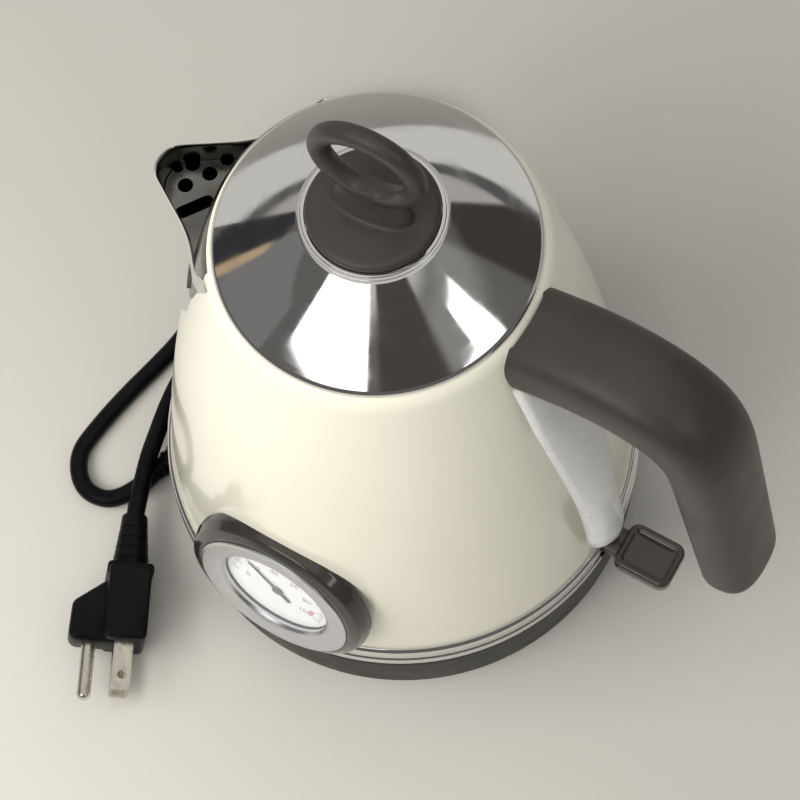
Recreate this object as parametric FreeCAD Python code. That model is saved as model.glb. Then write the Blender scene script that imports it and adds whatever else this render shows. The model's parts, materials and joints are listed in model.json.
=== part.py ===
"""Electric kettle with a conical body, a ring-knob lid and a round power base.

Millimetres, +Z up. The kettle's axis is Z and the table is z = 0. The handle points to +X, the
spout to -X and the thermometer faces -Y.
"""
import FreeCAD, Part
import math
import os

V = FreeCAD.Vector
X_AXIS = V(1, 0, 0)
Y_AXIS = V(0, 1, 0)
Z_AXIS = V(0, 0, 1)
CENTRE = V(0, 0, 0)

# ---- driving dimensions ----------------------------------------------------------------------
CLEAR = 0.4                # gap between pieces that move apart

# body: the outer profile is one arc from the foot to the shoulder
BODY_FOOT = (79.2, 37.3)   # radius, height
BODY_WAIST = (71.6, 88.2)
BODY_SHOULDER = (49.0, 183.0)
BODY_BOTTOM_Z = 30.0
LIP_ROLL_Z = 179.4         # the shoulder starts to roll inwards here
LIP_ROLL_MIDDLE = (48.6, 182.3)
LIP_TOP = (46.9, 184.1)
NECK_R = 45.8              # inner radius of the neck that the lid sits in
NECK_BOTTOM_Z = 174.0
WALL = 1.0
TRIM_R = 81.7              # chrome ring round the foot
TRIM_TOP_Z = 37.6

# power base
BASE_R = 81.0
BASE_RIM_Z = 25.0
DECK_Z = 20.0
WELL_R = 78.6
COVER_R = 78.0
POST_R = 8.4
SHUTTER_R = 10.8
SOCKET_R = 11.4

# spout
SPOUT_RIM_Z = 165.0
SPOUT_HALF_ANGLE = 32.0
SPOUT_WALL = 1.2
SPOUT_FLANGE = [           # half outline (y, z) of the sheet that lies against the body
    (0, 106.0), (14.0, 112.0), (27.5, 140.0), (32.0, 158.0), (31.7, 163.4), (33.1, 169.6), (34.3, 176.0),
    (35.0, 180.8), (0, 180.8),
]
SPOUT_FLANGE_OFFSETS = (0.05, 0.65)
SPOUT_SECTIONS = [         # height, tip x, nose radius
    (SPOUT_RIM_Z, -76.5, 8.0),
    (148.0, -74.4, 9.5),
    (128.0, -71.2, 12.5),
    (104.0, -65.5, 18.0),
]
STRAINER_Z = 156.0
STRAINER_HOLES = [         # x, y, radius
    (-69.8, 6.3, 2.3), (-63.6, 6.0, 2.3), (-68.0, -0.8, 2.3), (-61.5, 12.6, 2.0), (-73.0, 3.0, 1.5),
]
STRAINER_SLOT = ((-64.2, -9.0), (-59.4, -2.2), 2.0)

# handle: spine in the XZ plane, width across and thickness at its two ends
HANDLE_SPINE = [(44.0, 170.5), (78.0, 176.8), (99.4, 169.0), (109.9, 144.8), (117.3, 112.5), (125.0, 79.0)]
HANDLE_WIDTH = (30.0, 27.8)
HANDLE_THICK = (24.0, 19.4)
HANDLE_WALL = 3.0
HANDLE_SCREW_Z = 173.6
HANDLE_SQUARENESS = 2.6    # exponent of the superellipse section

# water gauge
GAUGE_Z = (38.6, 168.0)
GAUGE_SECTIONS = [         # height, half width, how far the middle stands off the wall
    (38.6, 6.4, 3.4), (42.0, 8.4, 5.6), (47.0, 9.2, 6.4), (60.0, 9.2, 6.2), (78.0, 10.0, 5.4),
    (99.0, 11.6, 4.4), (121.0, 13.3, 3.4), (141.0, 14.6, 2.6), (168.0, 15.0, 2.2),
]

# switch lever
PIVOT_X = 69.0
PIVOT_Z = 31.0
PADDLE_X = (86.5, 106.0)
PADDLE_HALF_WIDTH = 8.0
PADDLE_Z = (31.0, 37.0)

# thermometer: its axis leaves the body square to the wall
THERMO_Z = 65.0
THERMO_TILT = 10.9
BEZEL_BACK_R = 32.4
BEZEL_FRONT_R = 28.2
FACE_RING_R = 27.4
DIAL_R = 19.0
NEEDLE_TURN = 48.6         # degrees from straight up, towards -X, at rest

# lid and knob
LID_R = 46.7
LID_RIM_Z = 184.5
LID_TOP = (20.6, 203.8)    # radius and height where the collar sits
KNOB_R = 18.8
KNOB_Z = (201.6, 207.2)
RING_R = 14.2
RING_TUBE_R = 3.2
RING_Z = 231.8
RING_TURN = 4.0            # the lid stands turned a little in its neck

# mains cord
CORD_D = 6.4
CORD_R = CORD_D / 2
GLAND_END = V(-75.2, -49.5, 5.2)
GLAND_HEADING = -106.0
GLAND_LENGTH = 26.0
COIL_HEADING = 127.1       # direction from the axis to the coil's middle
COIL_DISTANCE = 113.0
COIL_BEND_R = 26.5         # middle of the turns
COIL_STRAIGHT = 16.0
COIL_LIFT = 0.9            # the tie passes under the turns
ROUTE_FROM_BASE = [        # from the gland, round the free loop, to the coil
    (-75.2, -49.5, 5.2), (-79.8, -64.4, 3.4), (-94.2, -68.2, 3.2), (-104.3, -57.5, 3.2),
    (-103.2, -43.5, 3.2), (-100.9, -29.0, 3.2), (-97.6, -14.5, 3.2), (-94.6, 0.5, 3.2),
    (-95.0, 17.0, 3.2), (-98.2, 34.0, 3.3), (-100.6, 51.0, 3.6), (-101.4, 68.0, 4.1),
]
ROUTE_TO_PLUG = [          # from the coil, along the base and over the first stretch, to the plug
    (-75.4, 54.0, 10.5), (-81.4, 41.0, 8.2), (-85.7, 26.0, 5.0), (-87.3, 9.0, 3.3),
    (-87.4, -8.0, 3.4), (-85.4, -23.0, 5.4), (-81.2, -37.0, 9.6), (-77.2, -51.0, 12.2), (-70.2, -68.2, 12.8),
]

# three-pin plug, lying on its side: blades one above the other
PLUG_FACE = V(-49.3, -108.6, 12.9)
PLUG_HEADING = -62.5
PLUG_ROLL = -13.0          # it leans over on its lower edge
PLUG_BLOCK = (22.5, 6.0, 11.9)   # length, half width, half height
PLUG_COLLAR = (2.8, 7.0, 9.5)
PLUG_LENGTH = PLUG_BLOCK[0] + PLUG_COLLAR[0]
PLUG_RELIEF_R = (6.6, 4.3)
BLADE_SPACING = 12.7
BLADE = (17.9, 6.35, 1.5)  # length, width, thickness
GROUND_OFFSET = 11.9
GROUND_R = 2.4
GROUND_LENGTH = 21.4


# ---- shared geometry -------------------------------------------------------------------------
def circle_through(first, second, third):
    """Centre and radius of the circle through three (r, z) points."""
    (ax, ay), (bx, by), (cx, cy) = first, second, third
    span = 2 * (ax * (by - cy) + bx * (cy - ay) + cx * (ay - by))
    a2, b2, c2 = ax * ax + ay * ay, bx * bx + by * by, cx * cx + cy * cy
    ux = (a2 * (by - cy) + b2 * (cy - ay) + c2 * (ay - by)) / span
    uy = (a2 * (cx - bx) + b2 * (ax - cx) + c2 * (bx - ax)) / span
    return ux, uy, math.hypot(ax - ux, ay - uy)


BODY_ARC = circle_through(BODY_FOOT, BODY_WAIST, BODY_SHOULDER)


def body_radius(z):
    """Outer radius of the body at a height."""
    cx, cz, radius = BODY_ARC
    return cx + math.sqrt(radius ** 2 - (z - cz) ** 2)


def heading(degrees, length=1.0):
    """A level vector in a compass-like direction, counted from +X towards +Y."""
    angle = math.radians(degrees)
    return V(length * math.cos(angle), length * math.sin(angle), 0)


def box(x, y, z):
    """Box from three (low, high) pairs."""
    return Part.makeBox(x[1] - x[0], y[1] - y[0], z[1] - z[0], V(x[0], y[0], z[0]))


def rod(radius, z, centre=(0, 0)):
    """Upright cylinder between two heights."""
    return Part.makeCylinder(radius, z[1] - z[0], V(centre[0], centre[1], z[0]), Z_AXIS)


def tube(outer, inner, z, centre=(0, 0)):
    """Upright tube between two heights."""
    return rod(outer, z, centre).cut(rod(inner, (z[0] - 1, z[1] + 1), centre))


def turned(points):
    """Solid turned about Z from (r, z) points; a point marked "via" is the middle of an arc."""
    edges = []
    closed = points + [points[0]]
    index = 0
    while index < len(closed) - 1:
        start = V(closed[index][0], 0, closed[index][1])
        middle = closed[index + 1]
        if len(middle) == 3:
            end = V(closed[index + 2][0], 0, closed[index + 2][1])
            edges.append(Part.Arc(start, V(middle[0], 0, middle[1]), end).toShape())
            index += 2
        else:
            end = V(middle[0], 0, middle[1])
            edges.append(Part.LineSegment(start, end).toShape())
            index += 1
    return Part.Face(Part.Wire(edges)).revolve(CENTRE, Z_AXIS, 360)


def body_band(z, inner_offset, outer_offset):
    """Ring that follows the body's outside between two heights and two offsets from it."""
    low, high = z
    middle = (low + high) / 2
    return turned([
        (body_radius(low) + inner_offset, low),
        (body_radius(low) + outer_offset, low),
        (body_radius(middle) + outer_offset, middle, "via"),
        (body_radius(high) + outer_offset, high),
        (body_radius(high) + inner_offset, high),
        (body_radius(middle) + inner_offset, middle, "via"),
    ])


def body_space():
    """Everything within the body's outside and above its lip, for trimming what stands on it."""
    low, high = BODY_BOTTOM_Z, BODY_SHOULDER[1]
    middle = (low + high) / 2
    lip_r = body_radius(high) + 0.3
    return turned([
        (0, low),
        (body_radius(low), low),
        (body_radius(middle), middle, "via"),
        (body_radius(high), high),
        (lip_r, high),
        (lip_r, high + 20),
        (0, high + 20),
    ])


def fused(solids):
    """One solid from several that overlap."""
    result = solids[0]
    for solid in solids[1:]:
        result = result.fuse(solid)
    return result.removeSplitter()


def on_thermometer(shape):
    """Place a shape made about Z so that Z leaves the body's wall along the thermometer's axis."""
    wall_point = V(0, -body_radius(THERMO_Z), THERMO_Z)
    on_wall = FreeCAD.Placement(wall_point, FreeCAD.Rotation(X_AXIS, 90 - THERMO_TILT))
    shape.Placement = on_wall.multiply(shape.Placement)
    return shape


def hexagon(across_flats, z):
    """Upright hexagonal prism between two heights."""
    corners = [heading(60 * turn, across_flats / math.sqrt(3)) + V(0, 0, z[0]) for turn in range(7)]
    return Part.Face(Part.makePolygon(corners)).extrude(V(0, 0, z[1] - z[0]))


# ---- power base ------------------------------------------------------------------------------
def base_pad_centres():
    return [heading(45 + 90 * turn, 69.0) for turn in range(4)]


def base_screw_centres():
    return [heading(90 + 120 * turn, 50.0) for turn in range(3)]


def make_base_upper_shell():
    shell = turned([
        (BASE_R, 0.8), (BASE_R + 0.4, 12.0, "via"), (BASE_R + 0.2, 22.5),
        (BASE_R - 0.5, 24.4, "via"), (BASE_R - 1.6, BASE_RIM_Z),
        (WELL_R, BASE_RIM_Z), (WELL_R, DECK_Z), (20.2, DECK_Z), (20.2, DECK_Z - 2.5),
        (COVER_R + 0.2, DECK_Z - 2.5), (COVER_R + 0.2, 0.8),
    ])
    bosses = [tube(4.5, 1.4, (2.5, DECK_Z - 2.4), (p.x, p.y)) for p in base_screw_centres()]
    shell = fused([shell] + bosses)
    return shell.cut(gland_cone(0.1))


def make_base_lower_cover():
    cover = turned([
        (0, 1.2), (56.0, 1.2), (58.0, 0), (COVER_R, 0), (COVER_R, 2.4), (0, 2.4),
    ])
    for p in base_pad_centres():
        cover = cover.cut(rod(6.0, (-1, 1.2), (p.x, p.y)))
    for p in base_screw_centres():
        cover = cover.cut(rod(1.9, (-1, 4), (p.x, p.y)))
        cover = cover.cut(rod(3.1, (-1, 1.8), (p.x, p.y)))
    return cover.cut(gland_cone(0.1)).cut(gland_flange(0.1))


def make_base_pads():
    return Part.makeCompound([rod(5.9, (0, 1.2), (p.x, p.y)) for p in base_pad_centres()])


def make_base_screws():
    screws = []
    for p in base_screw_centres():
        head = rod(2.9, (1.3, 1.8), (p.x, p.y))
        shank = rod(1.4, (1.7, 12.0), (p.x, p.y))
        screws.append(head.fuse(shank).cut(box((p.x - 1.8, p.x + 1.8), (p.y - 0.3, p.y + 0.3), (1.0, 1.5))))
    return Part.makeCompound(screws)


def make_base_connector():
    collar = turned([
        (0, 10.0), (26.0, 10.0), (26.0, 12.0), (20.0, 12.0), (20.0, DECK_Z),
        (POST_R, DECK_Z), (POST_R, 32.0), (POST_R - 1.0, 33.0), (2.2, 33.0), (2.2, 24.0), (0, 24.0),
    ])
    return collar


def make_base_contacts():
    pin = rod(1.6, (24.0, 34.6))
    lugs = [box((x - 2.0, x + 2.0), (18.0, 24.0), (7.0, 10.0)) for x in (-8.0, 0.0, 8.0)]
    return Part.makeCompound([pin] + lugs)


def make_connector_shutter():
    return turned([
        (POST_R + CLEAR, DECK_Z + CLEAR), (SHUTTER_R, DECK_Z + CLEAR), (SHUTTER_R, 30.0),
        (SHUTTER_R - 1.2, 31.2), (POST_R + CLEAR, 31.2),
    ])


def make_terminal_block():
    block = box((-13.0, 13.0), (28.0, 42.0), (2.5, 12.0))
    for x in (-8.0, 0.0, 8.0):
        block = block.cut(rod(2.2, (8.0, 13.0), (x, 35.0)))
    return block


# ---- mains cord ------------------------------------------------------------------------------
def gland_cone(grow=0.0):
    """Tapered strain relief that leaves the base's wall at a slant."""
    direction = heading(GLAND_HEADING)
    start = GLAND_END - direction * GLAND_LENGTH
    return Part.makeCone(4.7 + grow, CORD_R + 0.4 + grow, GLAND_LENGTH, start, direction)


def gland_flange(grow=0.0):
    """Collar on the gland's inner end, behind the wall."""
    direction = heading(GLAND_HEADING)
    start = GLAND_END - direction * (GLAND_LENGTH + grow)
    return Part.makeCylinder(5.0 + grow, 2.5 + 2 * grow, start, direction)


def make_cord_gland():
    return fused([gland_cone(), gland_flange()])


def rounded_path(points):
    """Straight runs joined by tangent arcs, each as large as its two runs allow."""
    corners = [V(*point) for point in points]
    edges = []
    last = corners[0]
    for before, corner, after in zip(corners, corners[1:], corners[2:]):
        toward = (corner - before).normalize()
        away = (after - corner).normalize()
        half_turn = toward.getAngle(away) / 2
        reach = 0.45 * min((corner - before).Length, (after - corner).Length)
        radius = reach / math.tan(half_turn)
        print("turn %.0f degrees, radius %.1f" % (math.degrees(2 * half_turn), radius))
        arc_start = corner - toward * reach
        arc_end = corner + away * reach
        bisector = (away - toward).normalize()
        sagitta = radius / math.cos(half_turn) - radius
        edges.append(Part.LineSegment(last, arc_start).toShape())
        edges.append(Part.Arc(arc_start, corner + bisector * sagitta, arc_end).toShape())
        last = arc_end
    edges.append(Part.LineSegment(last, corners[-1]).toShape())
    return Part.Wire(edges)


def make_cord(points):
    path = rounded_path(points)
    direction = (V(*points[1]) - V(*points[0])).normalize()
    section = Part.Wire([Part.makeCircle(CORD_R, V(*points[0]), direction)])
    cord = path.makePipeShell([section], True, False)
    expected = math.pi * CORD_R ** 2 * path.Length
    print("cord length %.1f, volume %.1f of %.1f" % (path.Length, cord.Volume, expected))
    return cord


def stadium(radius, z):
    """Upright prism with two straight sides and two round ends, along X."""
    half = COIL_STRAIGHT / 2
    sides = box((-half, half), (-radius, radius), z)
    return fused([sides, rod(radius, z, (-half, 0)), rod(radius, z, (half, 0))])


def at_coil(shape):
    """Place a shape made about Z, with its long side along X, at the coil's middle."""
    turn = FreeCAD.Rotation(Z_AXIS, COIL_HEADING - 90)
    shape.Placement = FreeCAD.Placement(heading(COIL_HEADING, COIL_DISTANCE), turn)
    return shape


def make_cord_coil():
    z = (COIL_LIFT, COIL_LIFT + 2 * CORD_D)
    coil = stadium(COIL_BEND_R + CORD_R, z).cut(stadium(COIL_BEND_R - CORD_R, (z[0] - 1, z[1] + 1)))
    return at_coil(coil)


def make_cord_tie():
    y = (COIL_BEND_R - CORD_R, COIL_BEND_R + CORD_R)
    z = (COIL_LIFT, COIL_LIFT + 2 * CORD_D)
    gap = 0.05
    wrap = 0.8
    outer = box((-3.5, 3.5), (y[0] - wrap, y[1] + wrap), (z[0] - wrap, z[1] + wrap))
    inner = box((-4.0, 4.0), (y[0] - gap, y[1] + gap), (z[0] - gap, z[1] + gap))
    return at_coil(outer.cut(inner))


def at_plug(shape):
    """Place a shape whose +X is the way the blades point and whose origin is between them."""
    turn = FreeCAD.Rotation(Z_AXIS, PLUG_HEADING).multiply(FreeCAD.Rotation(X_AXIS, PLUG_ROLL))
    shape.Placement = FreeCAD.Placement(PLUG_FACE, turn)
    return shape


def rounded_bar(x, half_width, half_height, radius):
    """Bar along X with its four long edges rounded."""
    bar = box(x, (-half_width, half_width), (-half_height, half_height))
    return bar.makeFillet(radius, [edge for edge in bar.Edges if abs(edge.tangentAt(0).x) > 0.9])


def make_plug_body():
    block = rounded_bar((-PLUG_BLOCK[0], 0), PLUG_BLOCK[1], PLUG_BLOCK[2], 1.6)
    collar = rounded_bar((-PLUG_LENGTH, -PLUG_BLOCK[0]), PLUG_COLLAR[1], PLUG_COLLAR[2], 3.0)
    outline = [(0, 0), (-20.0, 0), (-18.5, -6.0), (-10.5, -16.5), (0, -16.9)]
    corners = [V(x, y, -7.2) for x, y in outline]
    wedge = Part.Face(Part.makePolygon(corners + corners[:1])).extrude(V(0, 0, 14.4))
    outer = [edge for edge in wedge.Edges if edge.CenterOfMass.y < -16]
    body = fused([block, collar, wedge.makeFillet(2.0, outer)])
    for side in (-1, 1):
        z = side * BLADE_SPACING / 2
        body = body.cut(box((-8.0, 1.0), (-BLADE[1] / 2, BLADE[1] / 2), (z - BLADE[2] / 2, z + BLADE[2] / 2)))
    ground_hole = Part.makeCylinder(GROUND_R, 9.0, V(-8.0, -GROUND_OFFSET, 0), X_AXIS)
    return at_plug(body.cut(ground_hole))


def make_plug_blades():
    blades = []
    for side in (-1, 1):
        z = side * BLADE_SPACING / 2
        blade = box((-8.0, BLADE[0]), (-BLADE[1] / 2, BLADE[1] / 2), (z - BLADE[2] / 2, z + BLADE[2] / 2))
        blade = blade.cut(rod(1.6, (z - 2, z + 2), (BLADE[0] - 5.0, 0)))
        blades.append(blade)
    return at_plug(Part.makeCompound(blades))


def make_plug_ground_pin():
    pin = Part.makeCylinder(GROUND_R, 8.0 + GROUND_LENGTH - GROUND_R, V(-8.0, -GROUND_OFFSET, 0), X_AXIS)
    tip = Part.makeSphere(GROUND_R, V(GROUND_LENGTH - GROUND_R, -GROUND_OFFSET, 0))
    return at_plug(fused([pin, tip]))


def make_plug_relief():
    end = V(*ROUTE_TO_PLUG[-1])
    start = PLUG_FACE - heading(PLUG_HEADING, PLUG_LENGTH)
    direction = end - start
    relief = Part.makeCone(*PLUG_RELIEF_R, direction.Length, start, direction)
    return relief.cut(make_plug_body())


# ---- kettle body -----------------------------------------------------------------------------
def make_body_shell():
    low = BODY_BOTTOM_Z
    middle = (low + LIP_ROLL_Z) / 2
    neck_outer = NECK_R + WALL
    shell = turned([
        (body_radius(low), low),
        (body_radius(middle), middle, "via"),
        (body_radius(LIP_ROLL_Z), LIP_ROLL_Z),
        (*LIP_ROLL_MIDDLE, "via"),
        LIP_TOP,
        (NECK_R, LIP_TOP[1] - 0.5),
        (NECK_R, NECK_BOTTOM_Z),
        (neck_outer, NECK_BOTTOM_Z),
        (neck_outer, LIP_ROLL_Z + WALL),
        (body_radius(LIP_ROLL_Z) - WALL, LIP_ROLL_Z),
        (body_radius(middle) - WALL, middle, "via"),
        (body_radius(low) - WALL, low),
    ])
    shell = shell.cut(box((70.0, 90.0), (-6.6, 6.6), (BODY_BOTTOM_Z - 1, GAUGE_Z[0])))
    shell = shell.cut(box((40.0, 90.0), (-3.0, 3.0), (56.0, 150.0)))
    shell = shell.cut(spout_passage())
    shell = shell.cut(on_thermometer(rod(3.1, (-6, 6))))
    return shell.cut(handle_screw_axis(2.1))


def spout_passage():
    """Opening in the body's wall that the water pours through."""
    passage = box((-75.0, -45.0), (-15.0, 15.0), (122.0, 158.0))
    return passage.makeFillet(8.0, [edge for edge in passage.Edges if abs(edge.tangentAt(0).x) > 0.9])


def spout_section(z, tip_x, nose_r, inset):
    """V-shaped outline at a height: two straight sides, a round nose and a closed back."""
    slope = math.radians(SPOUT_HALF_ANGLE)
    radius = nose_r - inset
    centre_x = tip_x + nose_r
    back_x = -20.0
    touch = V(centre_x - radius * math.sin(slope), radius * math.cos(slope), z)
    back_y = touch.y + (back_x - touch.x) * math.tan(slope)
    left_back = V(back_x, back_y, z)
    right_touch = V(touch.x, -touch.y, z)
    right_back = V(back_x, -back_y, z)
    nose = V(centre_x - radius, 0, z)
    return Part.Wire([
        Part.LineSegment(left_back, touch).toShape(),
        Part.Arc(touch, nose, right_touch).toShape(),
        Part.LineSegment(right_touch, right_back).toShape(),
        Part.LineSegment(right_back, left_back).toShape(),
    ])


def spout_solid(inset):
    sections = [spout_section(z, tip_x, nose_r, inset) for z, tip_x, nose_r in SPOUT_SECTIONS]
    return Part.makeLoft(sections, True, False)


def make_spout():
    floor = rod(100.0, (SPOUT_SECTIONS[-1][0] - 1, SPOUT_SECTIONS[-1][0] + SPOUT_WALL))
    inside = spout_solid(SPOUT_WALL).cut(floor)
    above = rod(2.0, (SPOUT_RIM_Z - 1, SPOUT_RIM_Z + 1), (-60.0, 0))
    spout = spout_solid(0).cut(inside.fuse(above)).cut(body_space())
    walls = max(spout.Solids, key=lambda solid: solid.Volume)
    return fused([walls, spout_flange()])


def spout_flange():
    """Sheet against the body behind the spout, with cheeks that run up to the lip."""
    low, high = SPOUT_FLANGE[0][1], SPOUT_FLANGE[-1][1]
    right = [V(-1, y, z) for y, z in SPOUT_FLANGE]
    left = [V(-1, -y, z) for y, z in reversed(SPOUT_FLANGE[1:-1])]
    outline = Part.Face(Part.makePolygon(right + left + [right[0]]))
    sheet = body_band((low, high), *SPOUT_FLANGE_OFFSETS).common(outline.extrude(V(-99, 0, 0)))
    return sheet.cut(spout_passage())


def make_spout_strainer():
    inside = spout_solid(SPOUT_WALL + 0.05)
    drum_centre = (-73.0, 0)
    drum = rod(18.0, (128.0, STRAINER_Z), drum_centre)
    drum = drum.cut(rod(17.2, (127.0, STRAINER_Z - 0.8), drum_centre))
    strainer = inside.common(drum).cut(body_space()).cut(spout_flange())
    z = (STRAINER_Z - 2, STRAINER_Z + 2)
    for x, y, radius in STRAINER_HOLES:
        strainer = strainer.cut(rod(radius, z, (x, y)))
    start, end, radius = STRAINER_SLOT
    along = V(*end, 0) - V(*start, 0)
    across = V(-along.y, along.x, 0).normalize() * radius
    corners = [V(*start, z[0]) + across, V(*end, z[0]) + across, V(*end, z[0]) - across, V(*start, z[0]) - across]
    slot = Part.Face(Part.makePolygon(corners + corners[:1])).extrude(V(0, 0, z[1] - z[0]))
    for tool in (slot, rod(radius, z, start), rod(radius, z, end)):
        strainer = strainer.cut(tool)
    return max(strainer.Solids, key=lambda solid: solid.Volume)


def make_water_gauge():
    sections = []
    for z, half_width, stand_off in GAUGE_SECTIONS:
        wall = body_radius(z)
        edge = (math.sqrt(wall**2 - half_width**2) + 1.7, half_width)
        brow = (wall + 0.86 * stand_off + 0.2, 0.36 * half_width)
        half = [(wall - 12.0, half_width), edge, brow]
        outline = half + [(wall + stand_off, 0)] + [(x, -y) for x, y in reversed(half)]
        corners = [V(x, y, z) for x, y in outline]
        sections.append(Part.makePolygon(corners + corners[:1]))
    gauge = Part.makeLoft(sections, True, True).common(body_band(GAUGE_Z, 0.6, 12.0))
    return gauge.cut(handle_solid(0))


def make_gauge_gasket():
    z = (52.0, 154.0)
    gasket = body_band(z, 0.0, 0.6)
    frame = gasket.common(box((30.0, 100.0), (-6.5, 6.5), z))
    return frame.cut(box((30.0, 100.0), (-3.0, 3.0), (56.0, 150.0)))


def trim_ring_space():
    """Everything inside the trim ring's outside, for trimming the thermometer's bezel."""
    return turned([(0, 20.0), (TRIM_R + 0.05, 20.0), (TRIM_R + 0.05, TRIM_TOP_Z + 0.05), (0, TRIM_TOP_Z + 0.05)])


def make_trim_ring():
    ring = turned([
        (WELL_R, 26.2), (TRIM_R - 0.3, 26.2), (TRIM_R, 26.6), (TRIM_R, 30.4), (TRIM_R - 0.4, 30.9),
        (TRIM_R - 0.8, 31.4), (TRIM_R - 0.8, 35.6), (TRIM_R - 1.2, 37.0, "via"), (79.7, TRIM_TOP_Z),
        (body_radius(TRIM_TOP_Z) + 0.1, TRIM_TOP_Z), (body_radius(BODY_BOTTOM_Z) + 0.1, BODY_BOTTOM_Z - 0.05),
        (WELL_R, BODY_BOTTOM_Z - 0.05),
    ])
    return ring.cut(box((70.0, 90.0), (-6.6, 6.6), (27.2, 40.0)))


def kettle_screw_centres():
    return [heading(60 + 120 * turn, 62.0) for turn in range(3)]


def make_bottom_cover():
    cover = turned([
        (SOCKET_R + 6.2, DECK_Z + 0.6), (76.6, DECK_Z + 0.6), (77.9, DECK_Z + 1.8),
        (77.9, 29.9), (76.0, 29.9), (76.0, DECK_Z + 2.6), (SOCKET_R + 6.2, DECK_Z + 2.6),
    ])
    bosses = [tube(4.2, 1.3, (DECK_Z + 2.5, 43.9), (p.x, p.y)) for p in kettle_screw_centres()]
    cover = fused([cover] + bosses)
    for p in kettle_screw_centres():
        cover = cover.cut(rod(2.7, (DECK_Z, DECK_Z + 1.6), (p.x, p.y)))
        cover = cover.cut(rod(1.3, (DECK_Z, DECK_Z + 4), (p.x, p.y)))
    return cover.cut(box((63.0, 90.0), (-6.6, 6.6), (28.0, 31.0)))


def make_kettle_screws():
    screws = []
    for p in kettle_screw_centres():
        head = rod(2.6, (DECK_Z + 1.0, DECK_Z + 1.6), (p.x, p.y))
        shank = rod(1.3, (DECK_Z + 1.5, 34.0), (p.x, p.y))
        screws.append(head.fuse(shank))
    return Part.makeCompound(screws)


def steam_tube_axis():
    foot = heading(28.0, 64.0) + V(0, 0, 36.0)
    top = heading(28.0, 42.5) + V(0, 0, 170.0)
    return foot, top


def steam_tube_solid(radius):
    foot, top = steam_tube_axis()
    return Part.makeCylinder(radius, (top - foot).Length, foot, top - foot)


def make_steam_tube():
    foot, top = steam_tube_axis()
    bore = Part.makeCylinder(2.4, (top - foot).Length + 2, foot - (top - foot).normalize(), top - foot)
    return steam_tube_solid(3.2).cut(bore)


def make_heating_plate():
    plate = turned([
        (0, 44.0), (body_radius(44.0) - WALL - 0.05, 44.0),
        (body_radius(46.0) - WALL - 0.05, 46.0), (0, 46.0),
    ])
    return plate.cut(steam_tube_solid(3.2))


def make_heating_element():
    ring = Part.makeTorus(48.0, 3.2, V(0, 0, 40.8), Z_AXIS)
    gap = box((-60.0, -40.0), (-7.0, 7.0), (30.0, 43.9))
    pins = [rod(1.5, (34.0, 41.0), (-47.3, y)) for y in (-8.0, 8.0)]
    return fused([ring.cut(gap)] + pins)


def make_control_unit():
    body = box((-30.0, 30.0), (-19.0, 19.0), (34.6, 42.0))
    body = body.makeFillet(4.0, [edge for edge in body.Edges if abs(edge.tangentAt(0).z) > 0.9])
    well = rod(3.0, (34.0, 37.0))
    return body.cut(well)


def make_bimetal_disc():
    return turned([(0, 42.8), (9.0, 42.1), (9.0, 42.6), (0, 43.3)])


def make_kettle_connector():
    return turned([
        (SOCKET_R, DECK_Z + 0.6), (SOCKET_R + 6.1, DECK_Z + 0.6), (SOCKET_R + 6.1, 34.5),
        (SOCKET_R, 34.5),
    ])


# ---- switch lever ----------------------------------------------------------------------------
def make_switch_lever():
    paddle = box(PADDLE_X, (-PADDLE_HALF_WIDTH, PADDLE_HALF_WIDTH), PADDLE_Z)
    paddle = paddle.makeFillet(3.5, [edge for edge in paddle.Edges if abs(edge.tangentAt(0).z) > 0.9])
    dish = box((PADDLE_X[0] + 2.4, PADDLE_X[1] - 2.4), (-5.6, 5.6), (PADDLE_Z[1] - 0.8, PADDLE_Z[1] + 1))
    neck = box((PIVOT_X, PADDLE_X[0] + 3), (-5.0, 5.0), (PIVOT_Z - 1.0, 35.4))
    hub = Part.makeCylinder(3.4, 10.0, V(PIVOT_X, -5.0, PIVOT_Z), Y_AXIS)
    lever = fused([paddle, neck, hub]).cut(dish)
    return lever.cut(Part.makeCylinder(1.55, 20.0, V(PIVOT_X, -10.0, PIVOT_Z), Y_AXIS))


def make_switch_pin():
    return Part.makeCylinder(1.5, 17.0, V(PIVOT_X, -8.5, PIVOT_Z), Y_AXIS)


def make_switch_bracket():
    ears = [box((PIVOT_X - 4.0, PIVOT_X + 3.6), y, (27.0, 36.0)) for y in ((-8.2, -5.6), (5.6, 8.2))]
    bridge = box((PIVOT_X - 9.0, PIVOT_X - 4.0), (-8.2, 8.2), (27.0, 36.0))
    bracket = fused(ears + [bridge])
    return bracket.cut(make_switch_pin())


# ---- handle ----------------------------------------------------------------------------------
def handle_spine():
    curve = Part.BSplineCurve()
    curve.interpolate([V(x, 0, z) for x, z in HANDLE_SPINE])
    return curve


def handle_section(curve, along, inset):
    """Superellipse across the spine, at a fraction of the spine's length."""
    at = curve.FirstParameter + along * (curve.LastParameter - curve.FirstParameter)
    centre = curve.value(at)
    tangent = V(*curve.tangent(at)[0])
    outward = tangent.cross(Y_AXIS).normalize()
    half_width = (HANDLE_WIDTH[0] + along * (HANDLE_WIDTH[1] - HANDLE_WIDTH[0])) / 2 - inset
    half_thick = (HANDLE_THICK[0] + along * (HANDLE_THICK[1] - HANDLE_THICK[0])) / 2 - inset
    points = []
    for step in range(16):
        angle = math.radians(22.5 * step)
        across = math.copysign(abs(math.cos(angle)) ** (2 / HANDLE_SQUARENESS), math.cos(angle))
        through = math.copysign(abs(math.sin(angle)) ** (2 / HANDLE_SQUARENESS), math.sin(angle))
        points.append(centre + Y_AXIS * (across * half_width) + outward * (through * half_thick))
    outline = Part.BSplineCurve()
    outline.interpolate(points, PeriodicFlag=True)
    return Part.Wire([outline.toShape()])


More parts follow.
